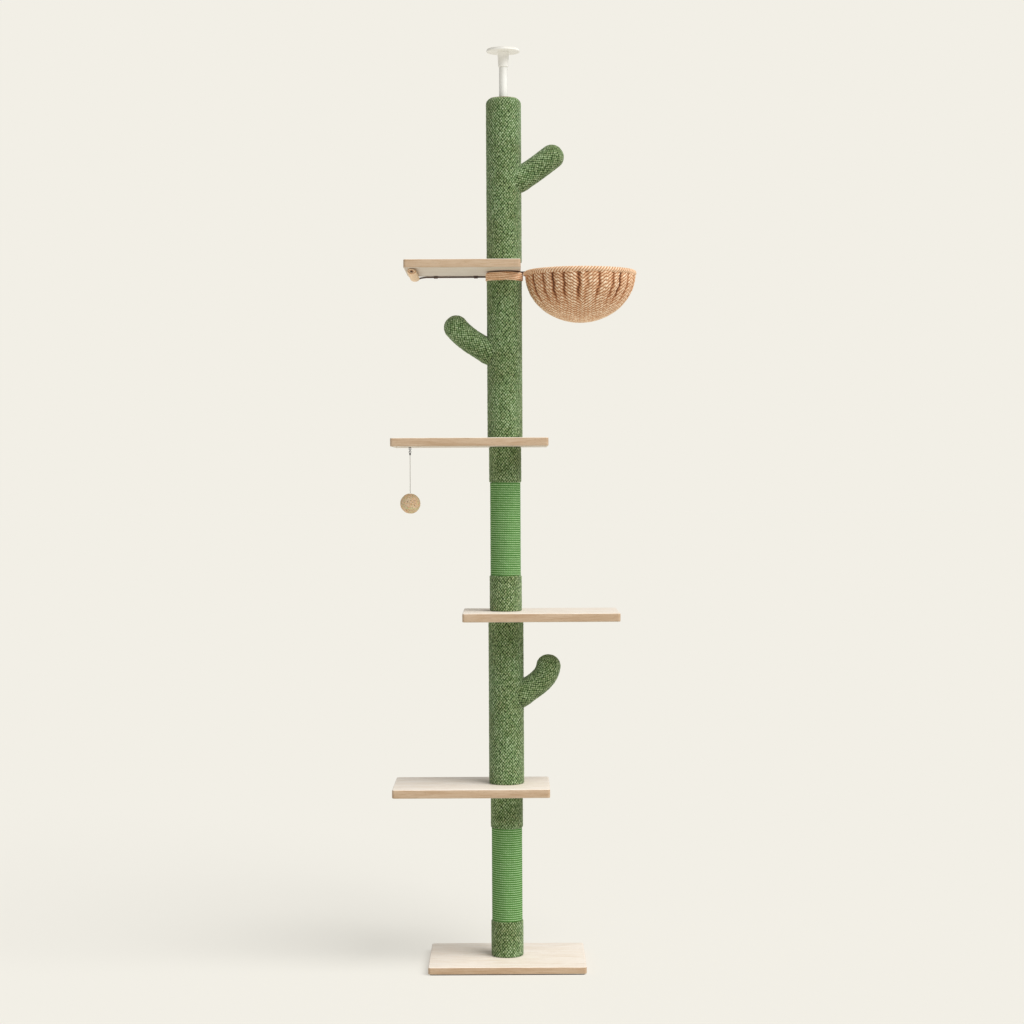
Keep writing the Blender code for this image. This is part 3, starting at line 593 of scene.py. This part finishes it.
def cactus_arm(node, side, bolt, corners, seed, finish):
    """A stuffed arm in the same cloth, its cut end shaped to the post and its tip round."""
    path, heading, closed = arm_line(corners)
    rows = len(path) - 1
    straight = ARM_RADIUS - LOOP_RISE * 0.8
    count = round(2 * math.pi * straight / LOOP_WIDTH)
    piece, across, up = flat_net(count * POINTS_IN_LOOP, rows)
    row = np.rint(up * rows).astype(int)
    past_post = np.clip(path[row, 0] - ARM_FLARE_START, 0, None)
    core = straight + (ARM_FLARE * np.exp(-past_post / ARM_FLARE_REACH))[:, None]
    pile, tone = loop_pile(across, row * CLOTH_STEP, count, seed)
    forward = np.stack((heading[row, 0], np.zeros(len(row)), heading[row, 1]), axis=1)
    sideways = np.array((0.0, 1.0, 0.0))
    upward = np.cross(sideways, forward)
    angle = 2 * np.pi * across[:, None]
    spoke = np.cos(angle) * upward + np.sin(angle) * sideways
    rise = (pile * LOOP_RISE * np.cos(closed[row]) ** 0.3)[:, None]
    tilt = closed[row][:, None]
    middle = np.stack((path[row, 0], np.zeros(len(row)), path[row, 1] + bolt), axis=1)
    points = middle + spoke * (core + rise) * np.cos(tilt) + forward * rise * np.sin(tilt)
    inside = np.hypot(points[:, 0], points[:, 1]) < ARM_SADDLE
    saddle = np.sqrt(np.clip(ARM_SADDLE**2 - points[:, 1] ** 2, 0, None))
    points[inside, 0] = np.maximum(points[inside, 0], saddle[inside] - ARM_SINK)
    points[:, 0] *= side
    points[:, 1] *= side
    roll_up(piece, node + "_cloth", points, pile, tone, finish)
    return stand_for(piece, "dark_green_knit", node)


def bowl_side(reach, rim, bottom):
    """Section of the bowl's wall, from the middle of its bottom out and up to the rim."""
    turn = np.linspace(0.0, math.pi / 2, BOWL_STEPS)
    return np.stack((reach * np.sin(turn), rim - (rim - bottom) * np.cos(turn)), axis=1)


def gather_places():
    """Each gather's place, as a share of the way round, its depth, and where its plaits start."""
    chance = np.random.default_rng(7)
    places = (np.arange(GATHERS) + chance.uniform(-0.24, 0.24, GATHERS)) / GATHERS
    return places % 1.0, chance.uniform(0.35, 1.0, GATHERS), chance.random(GATHERS)


def plaits(across, along, length, ring):
    """Slanting plaits, drawn in by ragged gathers that fade towards the bottom of the wall."""
    places, depths, shifts = gather_places()
    climb = along / length
    wander = GATHER_WANDER * np.sin(along / 0.013 + 5 * across) + GATHER_WAVER * np.sin(along / 0.0047)
    apart = (across[:, None] - places[None, :] + 0.5) % 1.0 - 0.5
    nearest = np.abs(apart).argmin(axis=1)
    offset = apart[np.arange(len(along)), nearest] * 2 * np.pi * ring
    faded = np.clip((climb - GATHER_FOOT) / GATHER_FADE, 0, 1)
    groove = np.exp(-(((offset + wander) / GATHER_WIDTH) ** 2)) * faded * depths[nearest]
    swell = np.clip((climb - 0.3) / 0.5, 0, 1) * np.clip(np.abs(offset) / 0.016, 0, 1) * GATHER_SWELL
    front = np.abs((across - 0.75 + 0.5) % 1.0 - 0.5) * 2 * np.pi * ring * np.sin(climb * np.pi / 2)
    ragged = PLAIT_RAGGED * np.sin(along / 0.011 + 31 * across)
    phase = (along - front * PLAIT_SLOPE) / PLAIT_PITCH + shifts[nearest] + ragged
    notch = front / PLAIT_NOTCH + 0.6 * (phase % 1.0) + shifts[nearest]
    plait = np.sqrt(np.clip(1 - (2.3 * (phase % 1.0) - 1.15) ** 2, 0, 1))
    ply = np.sqrt(np.clip(1 - (2.1 * (notch % 1.0) - 1.05) ** 2, 0, 1))
    tone = scattered(np.floor(phase) * 7 + np.floor(notch))
    height = plait * (0.5 + 0.5 * ply) * (0.8 + 0.2 * tone)
    height = height * (1 - 0.6 * np.clip((climb - 0.965) / 0.03, 0, 1))  # in the rim's shade
    return height, groove, swell, tone


def basket_ring():
    """The middle of the basket's ring along X, its radius and its height."""
    low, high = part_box("basket_bowl")
    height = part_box("collar_wrap")[1].z
    return (low.x + high.x) / 2, (high.x - low.x) / 2 - (high.z - height), height


def plaited_bowl(finish):
    """The basket's wall and its lining: the same gathers show from both sides."""
    middle, ring, rim = basket_ring()
    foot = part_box("basket_bowl")[0].z + BOWL_LIFT

    def make(name, side, reach, bottom, around, step):
        outline = bowl_side(reach, rim, bottom)[::side]
        length = even_steps(outline, step)[2]

        def relief(across, along):
            up_wall = along if side > 0 else length - along
            height, groove, swell, tone = plaits(across, up_wall, length, ring)
            rise = height * PLAIT_RISE + (swell - groove * GATHER_DEPTH) * side
            # painted shade: the pile, which sets the cord's colour, falls to its darkest in the gathers and
            # between the plaits
            return rise, (0.16 + 0.84 * height) * (1 - 0.95 * groove), tone

        piece = turned_net(name, outline, around, step, relief, finish)
        piece.data.transform(Matrix.Translation((middle, 0, 0)))
        return piece

    wall = make("basket_plaiting", 1, ring + BOWL_SWELL, foot, *BOWL_NET)
    stand_for(wall, "woven_cord", "basket_bowl")
    lining = make("basket_lining", -1, ring + BOWL_SWELL - BOWL_WALL, foot + BOWL_WALL, *LINING_NET)
    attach(lining, "top_unit")


def strand(points, radius, closed=False, sides=2):
    """A round strand through points, as a mesh."""
    curve = bpy.data.curves.new("strand", "CURVE")
    curve.dimensions = "3D"
    curve.bevel_depth = radius
    curve.bevel_resolution = sides
    curve.use_fill_caps = not closed
    line = curve.splines.new("POLY")
    line.points.add(len(points) - 1)
    line.use_cyclic_u = closed
    for spot, point in zip(line.points, points):
        spot.co = (*point, 1.0)
    made = bpy.data.objects.new("strand", curve)
    bpy.context.scene.collection.objects.link(made)
    clear_selection()
    made.select_set(True)
    bpy.context.view_layer.objects.active = made
    bpy.ops.object.convert(target="MESH")
    bpy.ops.object.shade_smooth()
    return bpy.context.object


def joined(pieces):
    """Several meshes as one."""
    clear_selection()
    for piece in pieces:
        piece.select_set(True)
    bpy.context.view_layer.objects.active = pieces[0]
    bpy.ops.object.join()
    return pieces[0]


def rope_rim(finish):
    """Four strands twisted round the basket's steel ring."""
    middle, ring, height = basket_ring()
    strands = []
    for number in range(RIM_STRANDS):
        points = []
        for i in range(RIM_POINTS):
            angle = 2 * math.pi * i / RIM_POINTS
            twist = RIM_TWISTS * angle + 2 * math.pi * number / RIM_STRANDS
            reach = ring + RIM_CORE * math.cos(twist)
            place = (middle + reach * math.cos(angle), reach * math.sin(angle))
            points.append((*place, height + RIM_CORE * math.sin(twist)))
        strands.append(strand(points, RIM_STRAND_RADIUS, closed=True))
    rim = settle(joined(strands), "basket_rim", finish)
    spots = corners_of(rim)
    out = np.hypot(np.hypot(spots[:, 0] - middle, spots[:, 1]) - ring, spots[:, 2] - height)
    # painted shade where the strands lie against each other at the core, and a narrow painted highlight on
    # their crowns
    pile = 0.9 * np.clip((out - RIM_CORE) / RIM_STRAND_RADIUS, 0, 1) ** 2.4
    round_ring = np.arctan2(spots[:, 1], spots[:, 0] - middle)
    paint(rim, pile, scattered(np.floor(round_ring * RIM_LOTS)))
    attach(rim, "top_unit")
    return rim


def wound_collar(finish):
    """Turns of the same cord round the post, sloping down to the basket's side."""
    low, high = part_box("collar_wrap")
    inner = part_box("sleeve_4")[1].x
    outer = high.x - PLAIT_RISE
    pitch = (high.z - low.z) / COLLAR_TURNS

    def relief(across, along):
        sloped = along + COLLAR_SLOPE * np.cos(2 * np.pi * across)
        pile, tone = rope_turns(across, sloped, pitch, BRACE_STRAND, 2 * math.pi * outer)
        # the pile is cut to 0.85 to darken the whole collar: painted shade from the board above
        return pile * PLAIT_RISE, pile * 0.85, tone

    sunk = inner - 0.001
    ease = 0.0008
    outline = [(sunk, low.z), (outer, low.z + ease), (outer, high.z - ease), (sunk, high.z)]
    piece = turned_net("collar_cord", outline, *COLLAR_NET, relief, finish)
    return stand_for(piece, "woven_cord", "collar_wrap")


def wound_bar(name, start, heading, length, wide, tall, finish):
    """Cord wound over a flat bar, from its start along its heading."""
    radius = wide / 2 - PLAIT_RISE
    girth = 2 * math.pi * radius

    def relief(across, along):
        pile, tone = rope_turns(across, along, BRACE_PITCH, BRACE_STRAND, girth)
        on_side = (along > radius) & (along < radius + length)
        return pile * PLAIT_RISE * on_side, pile, tone

    outline = [(BAR_EYE, 0.0), (radius, 0.0), (radius, length), (BAR_EYE, length)]
    piece = turned_net(name, outline, *BAR_NET, relief, finish)
    turned = Vector((0, 0, 1)).rotation_difference(Vector(heading)).to_matrix().to_4x4()
    piece.data.transform(Matrix.Translation(start) @ Matrix.Diagonal((1, 1, tall / wide, 1)) @ turned)
    return piece


def wound_bars(finish):
    """Cord over the brace rod under the perch's far end, and over the basket's tongue."""
    low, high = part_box("brace_wrap")
    size = high - low
    start = ((low.x + high.x) / 2, high.y, (low.z + high.z) / 2)
    brace = wound_bar("brace_cord", start, (0, -1, 0), size.y, size.x, size.z, finish)
    stand_for(brace, "woven_cord", "brace_wrap")
    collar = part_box("collar_wrap")[1]
    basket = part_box("basket_bowl")[0]
    start = (collar.x + 0.0003, 0, collar.z)
    length = basket.x - collar.x + TONGUE_LAP
    tongue = wound_bar("tongue_cord", start, (1, 0, 0), length, TONGUE_WIDE, TONGUE_TALL, finish)
    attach(tongue, "top_unit")


def level_edge(piece):
    """A test for the edges round a board's top and bottom."""
    spots = piece.data.vertices
    return lambda edge: abs(spots[edge.vertices[0]].co.z - spots[edge.vertices[1]].co.z) < SEAM


def board(node, top_wood, side_shade_wood, under_shade_wood):
    """A solid board: corners rounded in plan, rims eased, and bored for the stud."""
    low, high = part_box(node)
    clear_selection()
    bpy.ops.mesh.primitive_cube_add(size=1, location=(low + high) / 2, scale=high - low)
    piece = settle(bpy.context.object, node + "_board", top_wood)
    piece.data.materials.append(side_shade_wood)
    piece.data.materials.append(under_shade_wood)
    level = level_edge(piece)
    pick(piece, "EDGE", lambda edge: not level(edge))
    bpy.ops.mesh.bevel(offset=BOARD_CORNER, segments=8)
    bpy.ops.object.mode_set(mode="OBJECT")
    pick(piece, "EDGE", level_edge(piece))
    bpy.ops.mesh.bevel(offset=BOARD_EASING, segments=5)
    bpy.ops.object.mode_set(mode="OBJECT")
    # painted shade: the sides take a darker tan copy of the wood and the undersides a greyer one, the tops
    # the palest
    for face in piece.data.polygons:
        face.material_index = 0 if face.normal.z > 0.5 else 2 if face.normal.z < -0.5 else 1
    bore(piece, (low.z + high.z) / 2, high.z - low.z)
    bpy.context.view_layer.objects.active = piece
    done_editing(30)
    return stand_for(piece, "pale_wood", node)


def bore(piece, height, depth):
    """Drills the stud's hole through a board."""
    clear_selection()
    bpy.ops.mesh.primitive_cylinder_add(
        vertices=32, radius=STUD_HOLE, depth=depth * 2, location=(0, 0, height)
    )
    drill = bpy.context.object
    cut = piece.modifiers.new("stud_hole", "BOOLEAN")
    cut.object = drill
    cut.operation = "DIFFERENCE"
    cut.solver = "EXACT"
    clear_selection()
    piece.select_set(True)
    bpy.context.view_layer.objects.active = piece
    bpy.ops.object.modifier_apply(modifier="stud_hole")
    bpy.data.objects.remove(drill, do_unlink=True)


def turn(name, outline, finish, middle=(0.0, 0.0), sides=64):
    """A round solid: a disc drawn out and resized through each point of its outline, bottom to top."""
    clear_selection()
    reach, height = outline[0]
    bpy.ops.mesh.primitive_circle_add(
        vertices=sides, radius=reach, fill_type="NGON", location=(*middle, height)
    )
    piece = settle(bpy.context.object, name, finish)
    bpy.ops.object.mode_set(mode="EDIT")
    bpy.ops.mesh.select_mode(type="FACE")
    bpy.ops.mesh.select_all(action="SELECT")
    for next_reach, next_height in outline[1:]:
        bpy.ops.mesh.extrude_region_move(TRANSFORM_OT_translate={"value": (0, 0, next_height - height)})
        share = next_reach / reach
        bpy.ops.transform.resize(value=(share, share, 1), center_override=(*middle, next_height))
        reach, height = next_reach, next_height
    bpy.ops.mesh.select_all(action="SELECT")
    bpy.ops.mesh.normals_make_consistent(inside=False)
    done_editing()
    return piece


def eased(reach, low, high, ease):
    """Outline of a disc with both rims rounded off, bottom to top."""
    steps = [math.radians(22.5 * i) for i in range(5)]
    under = [(reach - ease + ease * math.sin(a), low + ease - ease * math.cos(a)) for a in steps]
    over = [(reach - ease + ease * math.cos(a), high - ease + ease * math.sin(a)) for a in steps]
    return under + over


def ceiling_pole(metal, plastic, rubber):
    """White tube, tapered cup and round pad that press against the ceiling."""
    low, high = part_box("pole")
    reach = high.x
    stand_for(turn("pole_tube", eased(reach, low.z, high.z, SOFT_EDGE), metal), "white_metal", "pole")
    low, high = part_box("pad_cone")
    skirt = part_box("pole")[1].z - CUP_SKIRT
    wide = high.x
    narrow = wide * CUP_TAPER
    outline = [
        (reach + SOFT_EDGE, skirt),
        (narrow - SOFT_EDGE, skirt),
        (narrow, skirt + SOFT_EDGE),
        (narrow + 0.0002, skirt + 0.006),
        (wide - 0.0004, high.z - 0.004),
        (wide, high.z - 0.003),
        (wide, high.z),
    ]
    stand_for(turn("pad_cup", outline, plastic), "white_plastic", "pad_cone")
    low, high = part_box("ceiling_pad")
    disc = eased(high.x, low.z, high.z, 0.0016)
    stand_for(turn("pad_disc", disc, plastic, sides=DISC_SIDES), "white_plastic", "ceiling_pad")
    low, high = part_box("pad_facing")
    facing = eased(high.x, low.z, high.z, 0.0007)
    stand_for(turn("pad_grip", facing, rubber, sides=DISC_SIDES), "white_plastic", "pad_facing")


def ring(middle, major, minor, turned):
    """A small wire ring, standing."""
    clear_selection()
    bpy.ops.mesh.primitive_torus_add(
        location=middle,
        rotation=turned,
        major_radius=major,
        minor_radius=minor,
        major_segments=32,
        minor_segments=12,
    )
    bpy.ops.object.shade_smooth()
    return bpy.context.object


def toy_hardware(metal):
    """Screw eye, loose link and the crimped clip that holds the string."""
    low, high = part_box("toy_link")
    minor = (high.x - low.x) / 2
    major = (high.z - low.z) / 2 - minor
    spot = ((low.x + high.x) / 2, 0.0)
    link_height = (low.z + high.z) / 2
    facing_front = (math.pi / 2, 0, 0)
    facing_side = (0, math.pi / 2, 0)
    link = settle(ring((*spot, link_height), major, minor, facing_side), "toy_link_ring", metal)
    stand_for(link, "black_metal", "toy_link")
    low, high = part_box("toy_eye")
    eye_height = low.z + major + minor
    flange = high.z - 0.0008
    neck = [
        (EYE_NECK, eye_height + major),
        (EYE_NECK, flange - 0.0004),
        (EYE_FLANGE - 0.0004, flange),
        (EYE_FLANGE, flange + 0.0003),
        (EYE_FLANGE, high.z),
    ]
    screw = turn("toy_eye_neck", neck, metal, spot, 32)
    eye = joined([screw, ring((*spot, eye_height), major, minor, facing_front)])
    stand_for(settle(eye, "toy_screw_eye", metal), "black_metal", "toy_eye")
    low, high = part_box("toy_clip")
    loop_height = high.z - major - minor
    top = loop_height - major + minor * 0.4
    radius = CLIP_RADIUS
    barrel = [
        (radius - 0.0004, low.z),
        (radius, low.z + 0.0004),
        (radius, low.z + 0.0014),
        (radius - 0.0003, low.z + 0.0018),
        (radius - 0.0003, top - 0.0020),
        (radius, top - 0.0016),
        (radius, top - 0.0010),
        (radius * 0.5, top),
    ]
    body = turn("toy_clip_barrel", barrel, metal, spot, 32)
    clip = joined([body, ring((*spot, loop_height), major, minor, facing_front)])
    stand_for(settle(clip, "toy_crimp_clip", metal), "black_metal", "toy_clip")


def toy_string(finish):
    """Two-ply string that hangs straight under the ball's weight."""
    low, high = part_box("toy_string")
    spot = (low + high) / 2
    length = high.z - low.z
    turns = length / STRING_TWIST
    count = round(turns * 10)
    plies = []
    for side in (0, math.pi):
        points = []
        for i in range(count + 1):
            angle = side + 2 * math.pi * turns * i / count
            place = (spot.x + STRING_PLY * math.cos(angle), STRING_PLY * math.sin(angle))
            points.append((*place, high.z - length * i / count))
        plies.append(strand(points, STRING_PLY, sides=1))
    string = settle(joined(plies), "toy_twine", finish)
    spots = corners_of(string)
    out = np.hypot(spots[:, 0] - spot.x, spots[:, 1])
    # painted shade where the plies meet: the pile grows with each point's distance from the string's middle
    paint(string, np.clip(out / (2 * STRING_PLY), 0, 1), np.full(len(spots), 0.5))
    stand_for(string, "grey_string", "toy_string")


def wound_ball(finish):
    """Sisal yarn wound every way round a core, with the string's knot on top."""
    low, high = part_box("toy_ball")
    middle = (low + high) / 2
    clear_selection()
    bpy.ops.mesh.primitive_torus_add(
        major_radius=BALL_RADIUS - YARN_RADIUS,
        minor_radius=YARN_RADIUS,
        major_segments=48,
        minor_segments=6,
    )
    winding = bpy.context.object
    golden = math.pi * (3 - math.sqrt(5))
    chance = np.random.default_rng(3)
    windings = []
    for i in range(WINDINGS):
        copy = winding.copy()
        copy.data = winding.data.copy()
        bpy.context.scene.collection.objects.link(copy)
        tilt = math.acos(1 - (i + 0.5) / WINDINGS)
        size = 1.0 - YARN_SINK * chance.random()
        copy.rotation_euler = Euler((0, tilt, golden * i))
        copy.scale = (size, size, size)
        clear_selection()
        copy.select_set(True)
        bpy.context.view_layer.objects.active = copy
        bpy.ops.object.transform_apply(location=False, rotation=True, scale=True)
        spots = corners_of(copy)
        out = np.linalg.norm(spots, axis=1)
        # painted shade: a winding darkens the deeper it lies towards the core
        pile = np.clip((out - BALL_CORE) / (BALL_RADIUS - BALL_CORE), 0, 1)
        paint(copy, pile, np.full(len(spots), chance.random()))
        windings.append(copy)
    bpy.data.objects.remove(winding, do_unlink=True)
    clear_selection()
    bpy.ops.mesh.primitive_ico_sphere_add(subdivisions=4, radius=BALL_CORE)
    core = bpy.context.object
    # painted shade: the core is kept dark so that it shows as shadow between the windings
    paint(core, np.full(len(core.data.vertices), 0.1), np.full(len(core.data.vertices), 0.4))
    ball = joined([*windings, core])
    bpy.ops.object.shade_smooth()
    ball.location = middle
    return stand_for(settle(ball, "toy_wound_ball", finish), "toy_sisal", "toy_ball")


def press_spring(finish):
    """Coil spring inside the pole, which shortens as the ceiling presses the pad down."""
    low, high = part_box("pad_spring")
    reach = high.x - SPRING_WIRE
    foot = low.z + SPRING_WIRE
    climb = high.z - SPRING_WIRE - foot
    count = SPRING_TURNS * SPRING_STEPS
    points = []
    for i in range(count + 1):
        angle = 2 * math.pi * i / SPRING_STEPS
        points.append((reach * math.cos(angle), reach * math.sin(angle), foot + climb * i / count))
    spring = settle(strand(points, SPRING_WIRE), "press_spring", finish)
    stand_for(spring, "zinc_steel", "pad_spring")
    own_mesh(spring)


def finish_cad_nodes(finishes):
    """Gives the CAD nodes that stay shown the finish of their slot."""
    for node in frame["nodes"].values():
        for slot in node.material_slots:
            name = slot.material.name.split(".")[0]
            if name in finishes:
                slot.material = finishes[name]


def studio():
    """A plain pale floor, one large soft light from the right, and an even sky behind."""
    clear_selection()
    bpy.ops.mesh.primitive_plane_add(size=160)
    floor = bpy.context.object
    floor.name = "studio_floor"
    paper, _, shader = new_finish("studio_paper", Roughness=1.0, Specular_IOR_Level=0.0)
    reach = SKY_POWER + SUN_POWER / math.pi * math.sin(math.radians(SUN_HEIGHT))
    shade = [c * (1 - FLOOR_GLOW) / reach for c in linear(PAPER)[:3]]
    shader.inputs["Base Color"].default_value = (*shade, 1.0)
    shader.inputs["Emission Color"].default_value = linear(PAPER)
    shader.inputs["Emission Strength"].default_value = FLOOR_GLOW
    floor.data.materials.append(paper)
    sun = bpy.data.lights.new("window", "SUN")
    sun.energy = SUN_POWER
    sun.angle = math.radians(SUN_SOFTNESS)
    lamp = bpy.data.objects.new("window", sun)
    lamp.rotation_euler = Euler((math.radians(90 - SUN_HEIGHT), 0, math.radians(SUN_SIDE)))
    bpy.context.scene.collection.objects.link(lamp)
    world = bpy.data.worlds.new("studio_sky")
    world.use_nodes = True
    bpy.context.scene.world = world
    sky = world.node_tree
    seen = add(sky, "LightPath").outputs["Is Camera Ray"]
    backdrop = add(sky, "Background", {"Color": linear(PAPER), "Strength": 1.0}).outputs[0]
    light = add(sky, "Background", {"Color": (1.0, 1.0, 1.0, 1.0), "Strength": SKY_POWER}).outputs[0]
    mixed = add(sky, "MixShader", {0: seen, 1: light, 2: backdrop}).outputs[0]
    sky.links.new(mixed, sky.nodes["World Output"].inputs["Surface"])


def camera():
    """Across the room at the height of the middle platform, square to the boards' fronts."""
    lens = bpy.data.cameras.new("camera")
    lens.lens = CAMERA_LENS
    lens.sensor_width = 36
    seat = bpy.data.objects.new("camera", lens)
    tilt = Matrix.Rotation(math.radians(90 - CAMERA_DIP), 3, "X")
    roll = Matrix.Rotation(math.radians(CAMERA_ROLL), 3, "Z")
    seat.rotation_euler = (tilt @ roll).to_euler()
    seat.location = CAMERA_PLACE
    bpy.context.scene.collection.objects.link(seat)
    bpy.context.scene.camera = seat


def build():
    bpy.context.scene.view_settings.view_transform = "Standard"
    camera()
    studio()
    yarn = looped_yarn()
    rope = wound_rope()
    cord = plaited_cord()
    sisal = sisal_yarn()
    top_wood = sanded_wood("sanded_rubberwood", "#FBF3E8", "#F4E8D8", "#B4987A")
    # darker copies of the same wood for the boards' sides and undersides: painted shade
    side_shade_wood = sanded_wood("rubberwood_painted_side_shade", "#CDB498", "#BEA182", "#8C6C4A")
    under_shade_wood = sanded_wood("rubberwood_painted_under_shade", "#DDD3C4", "#D0C4B2", "#A08A70")
    black_steel = coated_metal("blacked_steel", "#2A2A2B", "#1E1E1F", 0.45, 0.0004, 0.7)
    brown_steel = coated_metal("bronze_powder_coat", "#5A4236", "#4C382E", 0.5, 0.0006)
    white_steel = coated_metal("white_powder_coat", "#EFEEE8", "#E8E6DF", 0.35, 0.0006)
    white_plastic = coated_metal("moulded_white_abs", "#F8F6F0", "#F3F0E8", 0.45, 0.0003)
    black_plastic = coated_metal("moulded_black_abs", "#3A3A3C", "#303032", 0.5, 0.0003)
    grip = coated_metal("white_rubber_grip", "#F0EDE5", "#E9E5DC", 0.8, 0.0009)
    twine = cotton_twine()
    toy_string(twine)
    covers = ("cuff_low_1", "cuff_top_1", "sleeve_2", "cuff_low_3", "cuff_top_3", "sleeve_4")
    for seed, node in enumerate(covers):
        knit_tube(node, seed, yarn)
    knit_tube("sleeve_5", 11, yarn, crown)
    for seed, (node, side, bolt, corners) in enumerate(ARMS, start=20):
        cactus_arm(node, side, bolt, corners, seed, yarn)
    for node in ("rope_1", "rope_3"):
        rope_winding(node, rope)
    for node in ("base_board", "platform_1", "platform_2", "platform_3", "top_perch"):
        board(node, top_wood, side_shade_wood, under_shade_wood)
    plaited_bowl(cord)
    rope_rim(cord)
    wound_collar(cord)
    wound_bars(cord)
    ceiling_pole(white_steel, white_plastic, grip)
    zinc = zinc_plate()
    press_spring(zinc)
    toy_hardware(black_steel)
    wound_ball(sisal)
    finish_cad_nodes({
        "tube_card": spiral_card(),
        "plug_plastic": black_plastic,
        "zinc_steel": zinc,
        "frame_steel": brown_steel,
        "eva_foam": foam_mat(),
    })


build()
